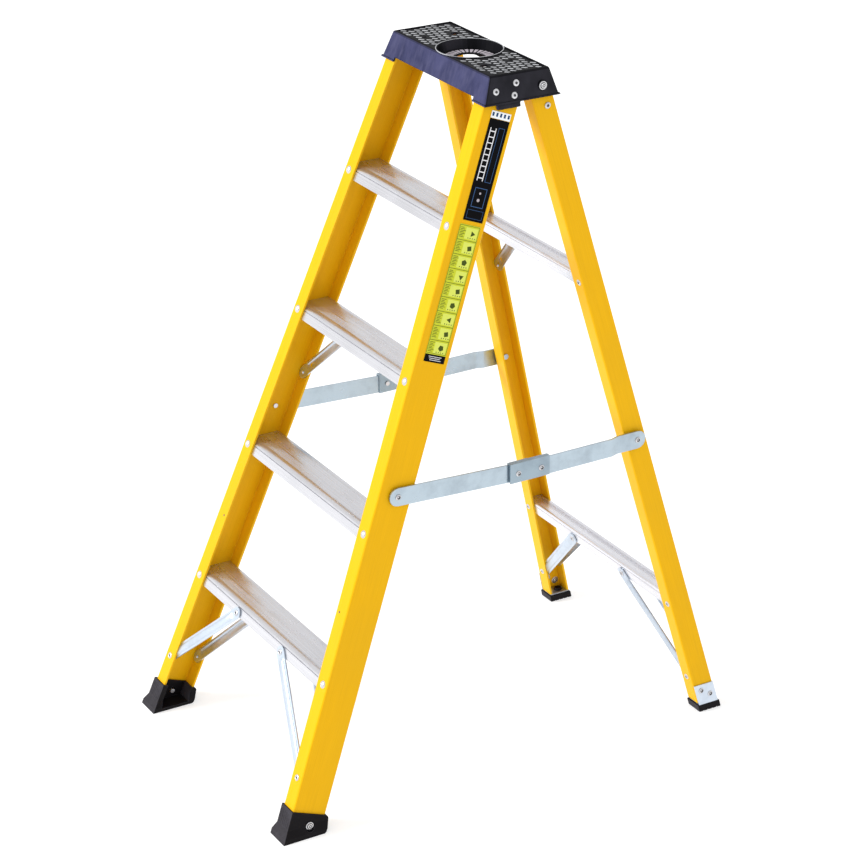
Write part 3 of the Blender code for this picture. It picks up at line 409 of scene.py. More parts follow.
def turned(work, profile, place, steps, dark):
    """Closed turned shape from (radius, height) pairs, top to bottom.

    The stretches of the profile numbered in `dark` take the second material, a dark one that paints
    shade into hollows and gaps.
    """
    rings = []
    for radius, height in profile:
        around = 1 if radius == 0.0 else steps
        turns = [2.0 * math.pi * i / around for i in range(around)]
        rings.append([work.verts.new(place @ Vector((radius * math.cos(a),
                                                     radius * math.sin(a), height)))
                      for a in turns])
    for index, (upper, lower) in enumerate(zip(rings, rings[1:])):
        bridge(work, upper, lower, 1 if index in dark else 0)


def prism(work, outline, low, high, place, inset):
    """Flat shape from an outline in (x, y), its top edge drawn in by `inset`."""
    centre = Vector((sum(x for x, _ in outline), sum(y for _, y in outline))) / len(outline)
    top = []
    for point in outline:
        arm = Vector(point) - centre
        top.append(centre + arm * max(0.0, 1.0 - inset / arm.length))
    lower = [work.verts.new(place @ Vector((x, y, low))) for x, y in outline]
    upper = [work.verts.new(place @ Vector((x, y, high))) for x, y in top]
    bridge(work, lower, upper)
    work.faces.new(lower)
    work.faces.new(upper)


def cluster(name, body, places, profile, nodes=(), steps=20, dark=(),
            materials=("rivet_alloy", "dark_steel")):
    """One piece of many like fasteners."""
    work = bmesh.new()
    for place in places:
        turned(work, profile, place, steps, dark)
    return add_piece(name, work, materials, body, nodes)


# ---------------------------------------------------------------- treads and crossbars
RIB_DROP = 0.0004            # depth of the grooves between ribs
RIB_STEPS = ((0.0, 0.0), (0.16, RIB_DROP), (0.40, RIB_DROP), (0.56, 0.0))   # share, drop
RIBS_PER_BAND = 8
CROSSBAR_FRONT_RIBS = 3
CROSSBAR_WIDTH = 0.050       # a bar narrower than this is a crossbar
FRONT_BAND_END, REAR_BAND_START = 0.47, 0.58        # shares of the bar's width
MIDDLE_GROOVE = ((0.51, 0.0), (0.515, RIB_DROP), (0.535, RIB_DROP), (0.54, 0.0))
NOSE_SHARE, NOSE_HEIGHT = 0.18, 0.0052      # the front edge slopes down in a curve
NOSE_STEPS = 6
NOSE_TO_RIBS = 0.0006
RIBS_TO_HEEL = 0.0062
HEEL_RADIUS = 0.0012
SKIRT_GROOVE = 0.0014        # height and depth of the groove under the nose
GROOVE_SLOPE = 0.0002
INSIDE_STEP = 0.0010


def ribs(start, end, count):
    """Ribbed stretch of a plate: (offset, drop) pairs from start to end."""
    pitch = (end - start) / count
    points = []
    for rib in range(count):
        points += [(start + rib * pitch + share * pitch, drop) for share, drop in RIB_STEPS]
    return points


def nose(start, depth, height, top):
    """Quarter of an ellipse, upright at its foot and level at its top."""
    turns = [math.radians(90.0 * i / NOSE_STEPS) for i in range(NOSE_STEPS + 1)]
    return [(start + depth * (1.0 - math.cos(a)), top - height * (1.0 - math.sin(a)))
            for a in turns]


def bar_profile(width, top, low):
    """Section of a tread from the foot of its front skirt, round over the top."""
    groove = top - NOSE_HEIGHT - SKIRT_GROOVE
    points = [(0.0, low), (0.0, groove), (SKIRT_GROOVE, groove + GROOVE_SLOPE),
              (SKIRT_GROOVE, groove + SKIRT_GROOVE)]
    nose_depth = width * NOSE_SHARE
    points += nose(0.0, nose_depth, NOSE_HEIGHT, top)
    front_ribs = RIBS_PER_BAND if width > CROSSBAR_WIDTH else CROSSBAR_FRONT_RIBS
    front_end, heel_start = width * FRONT_BAND_END, width - RIBS_TO_HEEL
    level = ribs(nose_depth + NOSE_TO_RIBS, front_end, front_ribs) + [(front_end, 0.0)]
    level += [(width * share, drop) for share, drop in MIDDLE_GROOVE]
    level += ribs(width * REAR_BAND_START, heel_start, RIBS_PER_BAND) + [(heel_start, 0.0)]
    points += [(offset, top - drop) for offset, drop in level]
    points += arc((width - HEEL_RADIUS, top - HEEL_RADIUS), HEEL_RADIUS, 90.0, 0.0, 3)
    points += [(width, low), (width - SHEET, low), (width - SHEET, top - SHEET)]
    wall = SHEET + SKIRT_GROOVE
    points += reversed(nose(wall, nose_depth - wall, NOSE_HEIGHT - SHEET, top - SHEET))
    return points + [(wall, groove), (SHEET, groove - INSIDE_STEP), (SHEET, low)]


def ribbed_bar(node, stiles, material):
    """Extruded tread or crossbar, its ends cut to the stiles' webs."""
    low, high = (corner.z for corner in map(Vector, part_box(node)))
    clear = (stiles.wall + GAP) * stiles.slope
    work = bmesh.new()
    ends = []
    for side in (-1.0, 1.0):
        ends.append([work.verts.new((side * (stiles.web(z) - stiles.wall - GAP),
                                     stiles.front(z) + clear + offset, z))
                     for offset, z in bar_profile(stiles.depth - 2.0 * clear, high, low)])
    bridge(work, *ends)
    for ring in ends:
        work.faces.new(ring)
    add_piece(f"{node}_ribbed", work, [material], stiles.body, [node], 24.0)
    return high


# ---------------------------------------------------------------- diagonal braces
BRACE_HALF = 0.0105
BRACE_TOP_X = 0.0790
BRACE_TOP_X_OUTER = 0.0890   # on the rear of the lower crossbar
RIVET_ABOVE_SKIRT = 0.0045
EMBOSS = 0.0024              # height of the pressed rib along a brace
TAB = 0.0125                 # flat end of a brace beyond its rivet
RIB_RISE = 0.0050            # length over which the rib rises from the tab
BRACE_TIP_HALF = 0.0012
BRACE_END_ANGLES = (0, 25, 50, 70, 90)      # stations round a brace's end
BRACE_INSIDE_GAP = 0.0008    # between a flange's inner face and the brace on it
BRACE_TO_WEB = 0.0010
# stem of the CAD nodes, stiles, on the rear skirt?, bar it is riveted to, x of the upper
# rivet, height of the lower one
BRACES = (
    ("brace_tread_1_front", FRONT, False, "tread_1", BRACE_TOP_X, 0.0970),
    ("brace_tread_1_rear", FRONT, True, "tread_1", BRACE_TOP_X, 0.0790),
    ("brace_tread_3_rear", FRONT, True, "tread_3", BRACE_TOP_X, 0.5940),
    ("brace_crossbar_lower_front", REAR, False, "rear_crossbar_lower", BRACE_TOP_X, 0.0640),
    ("brace_crossbar_lower_rear", REAR, True, "rear_crossbar_lower", BRACE_TOP_X_OUTER,
     0.0780),
    ("brace_crossbar_upper_rear", REAR, True, "rear_crossbar_upper", BRACE_TOP_X, 0.7200),
)
RIB_SECTION = ((-1.0, 0.0), (-0.66, 0.0), (-0.56, 0.55), (-0.42, 1.0), (0.42, 1.0),
               (0.56, 0.55), (0.66, 0.0), (1.0, 0.0))


def brace_ends(stiles, at_rear, bar, upper_x, lower_z, side):
    """Rivet centres on the brace's own middle plane, and the way it faces."""
    depth = stiles.true_depth()
    outside = stiles.wall - GAP - SHEET / 2.0
    inside = stiles.wall + BRACE_INSIDE_GAP + SHEET / 2.0
    normal = -stiles.normal()
    if at_rear:
        outside, inside, normal = depth - outside, depth - inside, -normal
    upper_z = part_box(bar)[0][2] + RIVET_ABOVE_SKIRT
    upper = stiles.at(side * upper_x, upper_z, outside)
    reach = stiles.web(lower_z) - stiles.wall - BRACE_HALF - BRACE_TO_WEB
    return upper, stiles.at(side * reach, lower_z, inside), normal


def brace(work, upper, lower, normal):
    """Strip with round flat ends and a rib pressed along its middle."""
    run = lower - upper
    along = run.normalized()
    face = (normal - along * normal.dot(along)).normalized()
    across = face.cross(along)
    end_steps = [BRACE_HALF * math.cos(math.radians(a)) for a in BRACE_END_ANGLES]
    stations = [-step for step in end_steps] + [TAB, TAB + RIB_RISE / 2.0, TAB + RIB_RISE]
    stations += [run.length - station for station in reversed(stations)]
    rings = []
    for station in stations:
        inboard = min(station, run.length - station)
        beyond = max(0.0, -inboard)
        half = max(math.sqrt(max(BRACE_HALF ** 2 - beyond ** 2, 0.0)), BRACE_TIP_HALF)
        rise = EMBOSS * min(max((inboard - TAB) / RIB_RISE, 0.0), 1.0)
        top = [upper + along * station + across * half * v
               + face * (SHEET / 2.0 + rise * h) for v, h in RIB_SECTION]
        bottom = [point - face * SHEET for point in reversed(top)]
        rings.append([work.verts.new(point) for point in top + bottom])
    for first, second in zip(rings, rings[1:]):
        bridge(work, first, second)
    for ring in (rings[0], rings[-1]):
        work.faces.new(ring)
    return face


# ---------------------------------------------------------------- rivets
BLIND_RIVET = ((0.0, 0.0009), (0.0011, 0.0008), (0.0014, 0.0002), (0.0014, -0.0001),
               (0.0021, -0.0001), (0.0023, 0.0014), (0.0030, 0.0018), (0.0043, 0.0015),
               (0.0053, 0.0007), (0.0055, 0.0), (0.0, 0.0))
DOME_RIVET = ((0.0, 0.0030), (0.0022, 0.0028), (0.0044, 0.0021), (0.0059, 0.0011),
              (0.0067, 0.0), (0.0, 0.0))
HOLLOW = (0, 1, 2, 3)        # stretches of the blind rivet inside its hollow mandrel end, painted dark as shade
TREAD_RIVET_DROP, TREAD_RIVET_FROM_WEB = 0.0070, 0.0135
CROSSBAR_RIVET_DROP, CROSSBAR_RIVET_FROM_WEB = 0.0150, 0.0115
PLUG_Z, PLUG_FROM_WEB = 0.3561, 0.0215
PLUG_SUNK = 0.0001           # how far the plug's seat lies behind the flange's face
PLUG = ((0.0, 0.0001), (0.0012, 0.0001), (0.0016, 0.0003), (0.0019, 0.0), (0.0, -0.0001))
RIVET_TAIL = ((0.0, 0.0026), (0.0016, 0.0024), (0.0024, 0.0016), (0.0030, 0.0008),
              (0.0030, 0.0), (0.0, 0.0))


def bar_rivets(stiles, tops, below, from_web):
    """Rivets that fix treads or crossbars through both flanges of each stile."""
    normal = stiles.normal()
    places = []
    for top in tops:
        z = top - below
        for side in SIDES.values():
            x = side * (stiles.web(z) - from_web)
            places.append(facing(stiles.at(x, z, 0.0), -normal))
            places.append(facing(stiles.at(x, z, stiles.true_depth()), normal))
    return places


def braces_and_rivets():
    """All braces, and the blind rivets of both frames with their formed tails."""
    heads = {FRONT.body: [], REAR.body: []}
    tails = {FRONT.body: [], REAR.body: []}
    for stem, stiles, at_rear, bar, upper_x, lower_z in BRACES:
        for side_name, side in SIDES.items():
            upper, lower, normal = brace_ends(stiles, at_rear, bar, upper_x, lower_z, side)
            work = bmesh.new()
            face = brace(work, upper, lower, normal)
            add_piece(f"{stem}_{side_name}_pressed", work, ["brace_zinc"], stiles.body,
                      [f"{stem}_{side_name}"])
            heads[stiles.body].append(facing(upper + face * SHEET / 2.0, face))
            tails[stiles.body].append(facing(lower - face * SHEET / 2.0, -face))
            depth = stiles.true_depth() if at_rear else 0.0
            outer = stiles.at(lower.x, lower.z, depth)
            heads[stiles.body].append(facing(outer, normal))
    cluster("tread_rivets", FRONT.body,
            bar_rivets(FRONT, TREAD_TOPS, TREAD_RIVET_DROP, TREAD_RIVET_FROM_WEB), DOME_RIVET)
    heads[REAR.body] += bar_rivets(REAR, CROSSBAR_TOPS, CROSSBAR_RIVET_DROP,
                                   CROSSBAR_RIVET_FROM_WEB)
    for body in heads:
        cluster(f"{body}_rivets", body, heads[body], BLIND_RIVET, dark=HOLLOW)
        cluster(f"{body}_rivet_tails", body, tails[body], RIVET_TAIL, steps=14)


def flange_plugs():
    """Small dark plug in each front flange above the bottom tread."""
    places = []
    for side in SIDES.values():
        x = side * (FRONT.web(PLUG_Z) - PLUG_FROM_WEB)
        places.append(facing(FRONT.at(x, PLUG_Z, -PLUG_SUNK), -FRONT.normal()))
    cluster("front_flange_plugs", FRONT.body, places, PLUG,
            materials=("dark_steel",), steps=12)


# ---------------------------------------------------------------- bolts and pivots
WASHER_BOLT = ((0.0, 0.0034), (0.0013, 0.0034), (0.0016, 0.0022), (0.0024, 0.0022),
               (0.0027, 0.0032), (0.0040, 0.0030), (0.0044, 0.0022), (0.0044, 0.0008),
               (0.0052, 0.0008), (0.0054, 0.0014), (0.0068, 0.0012), (0.0070, 0.0006),
               (0.0070, 0.0), (0.0, 0.0))
BOLT_SHADE = (1, 2, 3, 6, 7, 8)   # its drive and the gap between head and washer
PIVOT_SHADE = (1, 2, 5)
PIVOT_HEAD = ((0.0, 0.0006), (0.0014, 0.0006), (0.0018, 0.0013), (0.0030, 0.0018),
              (0.0044, 0.0012), (0.0050, 0.0004), (0.0050, 0.0), (0.0, 0.0))
SHANK_RADIUS = 0.0024
NUT_RADIUS, NUT_HEIGHT = 0.0040, 0.0012
# stem of the CAD nodes, body, how far the head's seat lies below the top of the CAD head,
# section of the head, its shaded stretches
FASTENERS = (
    ("hinge_bolt", FRONT.body, 0.0033, WASHER_BOLT, BOLT_SHADE),
    ("boot_bolt", FRONT.body, 0.0029, WASHER_BOLT, BOLT_SHADE),
    ("rear_stile_rivet", REAR.body, 0.0022, BLIND_RIVET, HOLLOW),
    ("spreader_front_pivot", FRONT.body, 0.0019, PIVOT_HEAD, PIVOT_SHADE),
    ("spreader_knee_pivot", "spreader_rear", 0.0019, PIVOT_HEAD, PIVOT_SHADE),
    ("spreader_knee_rivet", "spreader_rear", 0.0019, PIVOT_HEAD, PIVOT_SHADE),
    ("spreader_rear_pivot", "spreader_rear", 0.0019, PIVOT_HEAD, PIVOT_SHADE),
)


def head_seat(node, side):
    """Middle of a fastener's outer end, which sits at its highest |x|."""
    low, high = map(Vector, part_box(node))
    middle = (low + high) / 2.0
    return Vector((high.x if side > 0 else low.x, middle.y, middle.z))


def fasteners(stem, body, drop, profile, dark):
    """Detailed heads for a CAD fastener, one piece for each side."""
    for side_name, side in SIDES.items():
        node = f"{stem}_{side_name}"
        out = Vector((side, 0.0, 0.0))
        seat = head_seat(node, side) - out * drop
        low, high = map(Vector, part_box(node))
        reach = high.x - low.x - drop
        shank = ((SHANK_RADIUS, 0.0), (SHANK_RADIUS, NUT_HEIGHT - reach),
                 (NUT_RADIUS, NUT_HEIGHT - reach), (NUT_RADIUS, -reach), (0.0, -reach))
        rides_on = body if body in frame["bodies"] else f"{body}_{side_name}"
        cluster(f"{node}_head", rides_on, [facing(seat, out)],
                profile[:-1] + shank, [node], dark=dark)


# Cap sides: outer half widths at the top and at the lip, as in the CAD
CAP_TOP_Z, CAP_LIP_Z = 1.1761, 1.1340
CAP_TOP_HALF, CAP_LIP_HALF = 0.1495, 0.1600
CAP_CENTRE = Vector((0.0, 0.0647, 0.0))
CAP_FRONT_Y, CAP_REAR_Y = 0.0103, 0.1191
PANEL_Z = CAP_TOP_Z - 0.0014
RECESS_RADIUS = 0.0525
SHELF_Z = CAP_TOP_Z - 0.0150
CAP_RIVETS = (("cap_rivet_front", 0.0181, 1.1520), ("cap_rivet_upper", 0.0556, 1.1605),
              ("cap_rivet_lower", 0.0501, 1.1425))       # node stem, y, z
CAP_RIVET_LENGTH = 0.0145


def cap_rivet_heads():
    """The cap's blind rivets stand square to its drafted sides."""
    draft = (CAP_LIP_HALF - CAP_TOP_HALF) / (CAP_TOP_Z - CAP_LIP_Z)
    shank = ((SHANK_RADIUS, 0.0), (SHANK_RADIUS, -CAP_RIVET_LENGTH), (0.0, -CAP_RIVET_LENGTH))
    for name, y, z in CAP_RIVETS:
        for side_name, side in SIDES.items():
            seat = Vector((side * (CAP_LIP_HALF - draft * (z - CAP_LIP_Z)), y, z))
            place = facing(seat, (side, 0.0, draft))
            cluster(f"{name}_{side_name}_head", FRONT.body, [place],
                    BLIND_RIVET[:-1] + shank, [f"{name}_{side_name}"], dark=HOLLOW)


FOOT_RIVETS = ((0.30, 0.0400), (0.70, 0.0300))       # share of the depth, height


BRACKET_SHEET = 0.0020


def foot_rivets(name, from_web, way, profile, dark):
    """Rivet ends on the rear feet's sides, facing outwards (way 1) or inwards (-1)."""
    places = []
    for side in SIDES.values():
        for share, z in FOOT_RIVETS:
            point = (side * (REAR.web(z) + from_web), REAR.front(z) + REAR.depth * share, z)
            places.append(facing(point, (way * side, 0.0, way * REAR.taper)))
    cluster(name, REAR.body, places, profile, dark=dark)


# ---------------------------------------------------------------- cap details
DASH_LENGTH, DASH_WIDTH = 0.0104, 0.0030
DASH_PITCH, ROW_PITCH = 0.0134, 0.0100
DASH_ANGLE = 45.0
DASH_FOOT, DASH_RISE, DASH_BEVEL = -0.0002, 0.0006, 0.0003
ROWS, COLUMNS = 45, 22       # rows and columns tried each way from the cap's centre
PANEL_MARGIN = 0.0088
DASH_TO_PIT, DASH_TO_RECESS = 0.0060, 0.0085
CAP_PITS = (                 # x, y and half width of the holes through the panels
    (-0.0860, 0.0881, 0.0052), (0.0925, 0.0361, 0.0052),
    (0.0860, 0.0881, 0.0030), (-0.0925, 0.0361, 0.0030),
)
BEAD_OUT, BEAD_DOWN, BEAD_RADIUS = 0.0016, 0.0002, 0.0008
BEAD_STEPS, BEAD_SIDES = 72, 8
SHELF_MARKS = 30
MARK_INNER, MARK_OUTER = 0.0262, 0.0415
MARK_INNER_HALF, MARK_OUTER_HALF = 0.0016, 0.0030


def dash_outline():
    """Stadium lying along +X."""
    half, radius = DASH_LENGTH / 2.0 - DASH_WIDTH / 2.0, DASH_WIDTH / 2.0
    return arc((half, 0.0), radius, -90.0, 90.0, 3) + arc((-half, 0.0), radius, 90.0, 270.0, 3)


def on_panel(spot):
    """Whether a dash here keeps clear of the rim, the pits and the recess."""
    inside = (abs(spot.x) < CAP_TOP_HALF - PANEL_MARGIN
              and CAP_FRONT_Y + PANEL_MARGIN < spot.y < CAP_REAR_Y - PANEL_MARGIN)
    off_pits = all((spot - Vector((x, y, 0.0))).length > half + DASH_TO_PIT
                   for x, y, half in CAP_PITS)
    return inside and off_pits and (spot - CAP_CENTRE).length > RECESS_RADIUS + DASH_TO_RECESS


def cap_dashes():
    """Raised dashes that run diagonally over both panels of the cap."""
    work = bmesh.new()
    turn = Matrix.Rotation(math.radians(DASH_ANGLE), 4, "Z")
    for row in range(-ROWS, ROWS + 1):
        shift = DASH_PITCH / 2.0 if row % 2 else 0.0
        for column in range(-COLUMNS, COLUMNS + 1):
            spot = turn @ Vector((column * DASH_PITCH + shift, row * ROW_PITCH, 0.0)) + CAP_CENTRE
            if on_panel(spot):
                place = Matrix.Translation(Vector((spot.x, spot.y, PANEL_Z))) @ turn
                prism(work, dash_outline(), DASH_FOOT, DASH_RISE, place, DASH_BEVEL)
    # The dashes take the painted highlight material.
    add_piece("cap_dashes", work, ["cap_highlight"], FRONT.body)


def recess_bead():
    """Bead round the rim of the tool recess."""
    work = bmesh.new()
    centre = Matrix.Translation(Vector((CAP_CENTRE.x, CAP_CENTRE.y, CAP_TOP_Z)))
    section = arc((RECESS_RADIUS + BEAD_OUT, -BEAD_DOWN), BEAD_RADIUS, 0.0, 360.0, BEAD_SIDES)[:-1]
    rings = []
    for step in range(BEAD_STEPS):
        a = 2.0 * math.pi * step / BEAD_STEPS
        rings.append([work.verts.new(centre @ Vector((radius * math.cos(a),
                                                      radius * math.sin(a), height)))
                      for radius, height in section])
    for first, second in zip(rings, rings[1:] + rings[:1]):
        bridge(work, first, second)
    # The bead takes the painted highlight material.
    add_piece("cap_recess_bead", work, ["cap_highlight"], FRONT.body)


def shelf_marks():
    """Light radial marks on the recess's shelf."""
    work = bmesh.new()
    wedge = [(MARK_INNER, -MARK_INNER_HALF), (MARK_OUTER, -MARK_OUTER_HALF),
             (MARK_OUTER, MARK_OUTER_HALF), (MARK_INNER, MARK_INNER_HALF)]
    for mark in range(SHELF_MARKS):
        turn = Matrix.Rotation(2.0 * math.pi * mark / SHELF_MARKS, 4, "Z")
        place = Matrix.Translation(Vector((CAP_CENTRE.x, CAP_CENTRE.y, SHELF_Z))) @ turn
        prism(work, wedge, -0.0001, 0.0004, place, 0.0002)
    add_piece("cap_shelf_marks", work, ["shelf_print"], FRONT.body)


# ---------------------------------------------------------------- printing on the labels
class Film:
    """Plane of a label on the right front stile, with (across, down) coordinates."""

    def __init__(self, node):
        low, high = map(Vector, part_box(node))
        self.along = Vector((0.0, FRONT.lean, 1.0)) / FRONT.slope
        self.across = Vector((0.0, 1.0, -FRONT.lean)) / FRONT.slope
        span_y, span_z = high.y - low.y, high.z - low.z
        lean, slope = FRONT.lean, FRONT.slope
        self.width = slope * (span_y - lean * span_z) / (1.0 - lean * lean)
        self.length = slope * (span_z - lean * span_y) / (1.0 - lean * lean)
        self.corner = Vector((0.0, high.y - self.width / slope, high.z))

    def at(self, across, down, lift):
        point = self.corner + self.across * across - self.along * down
        point.x = FRONT.web(point.z) + GAP + 0.0004 + lift
        return point

    def patch(self, work, outline, level=1):
        """Thin ink shape; higher levels lie over lower ones."""
        lower = [work.verts.new(self.at(u, v, -0.00005)) for u, v in outline]
        upper = [work.verts.new(self.at(u, v, 0.00005 * level)) for u, v in outline]
        bridge(work, lower, upper)
        work.faces.new(lower)
        work.faces.new(upper)

    def bar(self, work, left, top, right, bottom, level=1):
        self.patch(work, [(left, top), (right, top), (right, bottom), (left, bottom)], level)

    def frame(self, work, left, top, right, bottom, line):
        self.bar(work, left, top, right, top + line)
        self.bar(work, left, bottom - line, right, bottom)
        self.bar(work, left, top + line, left + line, bottom - line)
        self.bar(work, right - line, top + line, right, bottom - line)


def ink(name, work, material):
    add_piece(name, work, [material], FRONT.body)


def scale_strip_print():
    film = Film("label_scale_strip")
    work = bmesh.new()
    pitch = film.width / 5.0
    for block in range(5):
        left = pitch * (block + 0.25)
        film.bar(work, left, 0.0022, left + pitch * 0.5, 0.0082)
    ink("label_scale_blocks", work, "ink_blue")


def dark_panel_print():
    """A pale ladder sign up the panel, and an outlined square below it."""
    film = Film("label_panel_dark")
    work = bmesh.new()
    top, bottom = 0.0140, 0.0980
    left, right, rail = 0.0050, 0.0165, 0.0015
    for edge in (left, right - rail):
        film.bar(work, edge, top, edge + rail, bottom)
    rungs = 9
    for rung in range(rungs):
        y = top + 0.0045 + (bottom - top - 0.0100) * rung / (rungs - 1)
        film.bar(work, left + rail, y, right - rail, y + 0.0016)
    ink("label_ladder_sign", work, "ink_pale")
    work = bmesh.new()
    edge = film.width - 0.0070
    film.frame(work, 0.0070, 0.1085, edge, 0.1395, 0.0010)
    film.frame(work, 0.0205, 0.0120, edge + 0.0020, 0.0985, 0.0007)
    film.frame(work, 0.0040, 0.1440, film.width - 0.0035, 0.1580, 0.0005)
    ink("label_outlines", work, "ink_outline")
    work = bmesh.new()
    middle = film.width / 2.0
    film.patch(work, arc((middle - 0.0005, 0.1280), 0.0026, 0.0, 330.0, 11), 2)
    film.patch(work, arc((middle, 0.1170), 0.0018, 0.0, 330.0, 11), 2)
    ink("label_dots", work, "shelf_print")


CELL_ROWS = 9
CELL_LINES = 7
FOOT_STRIP = 0.0140          # length left for the strip at the panel's foot


def green_cell(film, row, pitch, light, marks):
    """A light patch, lines of differing length and a many-sided sign with ticks."""
    top = row * pitch + 0.0012
    patch_left = film.width * (0.40 if row % 2 else 0.34)
    film.bar(light, patch_left, top + 0.0030, film.width - 0.0030, top + pitch - 0.0022)
    for line in range(CELL_LINES):
        y = top + 0.0035 + line * (pitch - 0.0060) / CELL_LINES
        length = 0.0060 + 0.0042 * ((row * 5 + line * 3) % 7) / 6.0
        film.bar(marks, 0.0028, y, 0.0028 + length, y + 0.0009)
    sign_x = film.width * 0.70 + 0.0015 * math.sin(row * 2.1)
    sign_y = top + pitch * 0.52
    outline = arc((sign_x, sign_y), 0.0052, 30.0 * row, 30.0 * row + 360.0, 3 + row % 3)[:-1]
    film.patch(marks, outline, 2)
    for tick in range(4):
        at = sign_x - 0.0075 + 0.0042 * tick
        film.bar(marks, at, sign_y + 0.0062, at + 0.0016, sign_y + 0.0078, 2)


def green_panel_print():
    """Rows of cells with simple marks, and a dark strip along the foot."""
    film = Film("label_panel_green")
    lines, marks, light = bmesh.new(), bmesh.new(), bmesh.new()
    foot = film.length - FOOT_STRIP
    pitch = foot / CELL_ROWS
    film.frame(lines, 0.0006, 0.0012, film.width - 0.0006, foot, 0.0007)
    for row in range(CELL_ROWS):
        top = row * pitch + 0.0012
        if row:
            film.bar(lines, 0.0013, top, film.width - 0.0013, top + 0.0008)
        green_cell(film, row, pitch, light, marks)
    ink("label_cell_lines", lines, "ink_olive")
    ink("label_cell_patches", light, "ink_lime")
    ink("label_cell_marks", marks, "ink_olive")
    green_panel_foot(film, foot)


def green_panel_foot(film, foot):
    """Dark strip with three pale lines, below the cells."""
    strip = bmesh.new()
    film.bar(strip, 0.0, foot + 0.0016, film.width, film.length, 2)
    ink("label_foot_strip", strip, "label_black")
    pale = bmesh.new()
    for line in range(3):
        left = 0.0070 + 0.0015 * line
        y = foot + 0.0045 + 0.0028 * line
        film.bar(pale, left, y, film.width - 0.0070 - 0.0020 * (line % 2), y + 0.0009, 3)
    ink("label_foot_lines", pale, "ink_pale")


# ---------------------------------------------------------------- feet
BOOT_WALL = 0.0032
BOOT_RIBS, BOOT_RIB_PITCH = 6, 0.0052
BOOT_RIB_FROM_EDGE = 0.0058
BOOT_RIB_LOW, BOOT_RIB_HIGH = 0.0215, 0.0455
BOOT_RIB_LIFT, BOOT_RIB_TAPER = 0.0007, 0.0015      # height, and length of its sloping ends
BOOT_RIB_SUNK = 0.0001
BOOT_RIB_SECTION = ((-0.0011, 0.0), (-0.0005, 1.0), (0.0005, 1.0), (0.0011, 0.0), (0.0, -0.3))


def boot_rib(work, side, rib):
    """One upright rib; its section's second number is a share of its height."""
    rings = []
    for z, lift in ((BOOT_RIB_LOW, 0.0), (BOOT_RIB_LOW + BOOT_RIB_TAPER, BOOT_RIB_LIFT),
                    (BOOT_RIB_HIGH - BOOT_RIB_TAPER, BOOT_RIB_LIFT), (BOOT_RIB_HIGH, 0.0)):
        middle = FRONT.web(z) + BOOT_WALL - BOOT_RIB_FROM_EDGE - rib * BOOT_RIB_PITCH
        y = FRONT.front(z) - BOOT_WALL + BOOT_RIB_SUNK
        rings.append([work.verts.new((side * (middle + dx), y - lift * share, z))
                      for dx, share in BOOT_RIB_SECTION])
    for first, second in zip(rings, rings[1:]):
        bridge(work, first, second)
    for ring in (rings[0], rings[-1]):
        work.faces.new(ring)


def boot_ribs():
    """Fine upright ribs moulded on the front of each boot."""
    work = bmesh.new()
    for side in SIDES.values():
        for rib in range(BOOT_RIBS):
            boot_rib(work, side, rib)
    add_piece("front_boot_ribs", work, ["rubber"], FRONT.body)


dress_cad_nodes()
TREAD_TOPS = [ribbed_bar(f"tread_{number}", FRONT, "aluminium") for number in (1, 2, 3, 4)]
CROSSBAR_TOPS = [ribbed_bar(f"rear_crossbar_{place}", REAR, "bright_aluminium")
                 for place in ("lower", "upper")]
braces_and_rivets()
flange_plugs()
cap_rivet_heads()
foot_rivets("rear_foot_rivets", GAP + BRACKET_SHEET, 1.0, PIVOT_HEAD, PIVOT_SHADE)
foot_rivets("rear_foot_rivet_tails", -REAR.wall, -1.0, WASHER_BOLT, BOLT_SHADE)
for row in FASTENERS:
    fasteners(*row)
cap_dashes()
recess_bead()
shelf_marks()
scale_strip_print()
dark_panel_print()
green_panel_print()
boot_ribs()


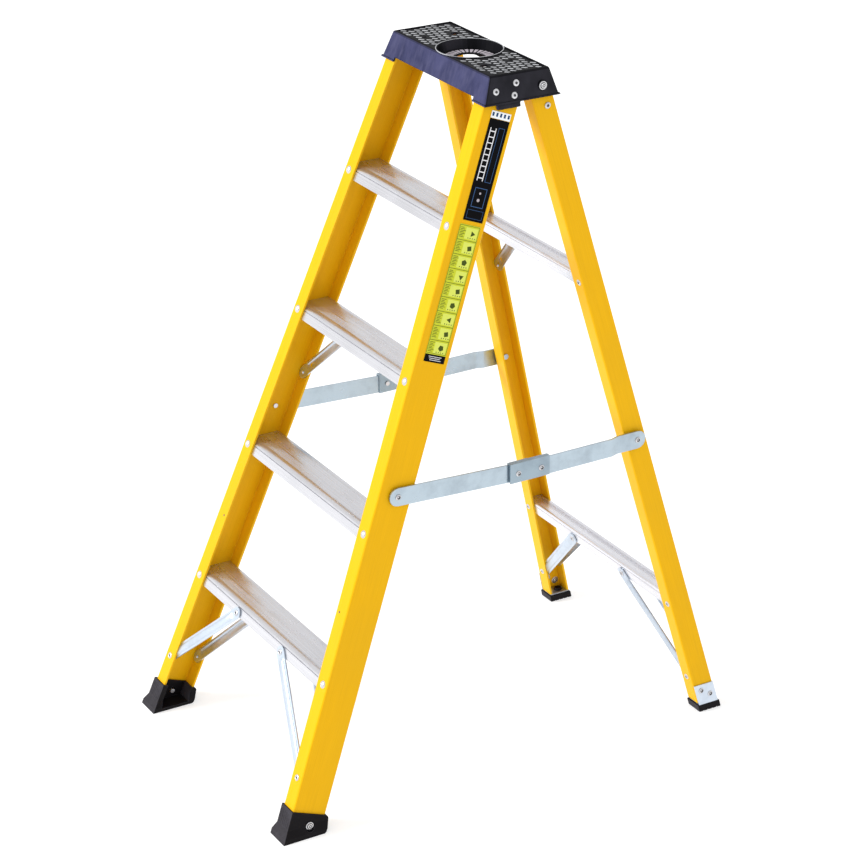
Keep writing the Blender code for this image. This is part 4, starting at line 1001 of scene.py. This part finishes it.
# ---------------------------------------------------------------- studio
CAMERA_AT = (3.6302, -2.1434, 2.4201)
CAMERA_AZIMUTH, CAMERA_ELEVATION = math.radians(59.6008), math.radians(24.1204)
LENS, SENSOR = 116.71, 36.0  # mm
WORLD_STRENGTH = 0.92
KEY_TOWARDS, KEY_STRENGTH, KEY_ANGLE = (0.42, 1.0, -0.62), 2.6, 24.0
KEY_COLOUR = (0.97, 0.98, 1.0)
FLOOR_REACH = 40.0
FLOOR_TONE, FLOOR_GLOW = (0.62, 0.62, 0.62), 0.50
WHITE = (1.0, 1.0, 1.0)


def camera():
    data = bpy.data.cameras.new("camera")
    data.sensor_width = SENSOR
    data.lens = LENS
    obj = bpy.data.objects.new("camera", data)
    obj.location = CAMERA_AT
    obj.rotation_euler = (math.pi / 2.0 - CAMERA_ELEVATION, 0.0, CAMERA_AZIMUTH)
    bpy.context.scene.collection.objects.link(obj)
    bpy.context.scene.camera = obj


def sun(name, towards, strength, angle, colour):
    """Distant soft light that shines along a direction."""
    data = bpy.data.lights.new(name, "SUN")
    data.energy = strength
    data.angle = math.radians(angle)
    data.color = colour
    obj = bpy.data.objects.new(name, data)
    obj.location = -2.0 * Vector(towards)
    obj.rotation_euler = Vector(towards).to_track_quat("-Z", "Y").to_euler()
    bpy.context.scene.collection.objects.link(obj)


def studio():
    """Even white surroundings with one soft key light from the front."""
    world = bpy.data.worlds.new("studio")
    world.use_nodes = True
    backdrop = world.node_tree.nodes["Background"]
    backdrop.inputs["Color"].default_value = (*WHITE, 1.0)
    backdrop.inputs["Strength"].default_value = WORLD_STRENGTH
    bpy.context.scene.world = world
    bpy.context.scene.view_settings.view_transform = "Standard"
    sun("key", KEY_TOWARDS, KEY_STRENGTH, KEY_ANGLE, KEY_COLOUR)
    floor = bpy.data.meshes.new("floor")
    corners = [(FLOOR_REACH * x, FLOOR_REACH * y, 0.0) for x, y in ((-1, -1), (1, -1), (1, 1), (-1, 1))]
    floor.from_pydata(corners, [], [(0, 1, 2, 3)])
    obj = bpy.data.objects.new("floor", floor)
    bpy.context.scene.collection.objects.link(obj)
    paint = Surface("floor_paint", FLOOR_TONE, 0.9,
                    **{"Specular IOR Level": 0.1, "Emission Color": WHITE,
                       "Emission Strength": FLOOR_GLOW})
    floor.materials.append(paint.finish())


camera()
studio()
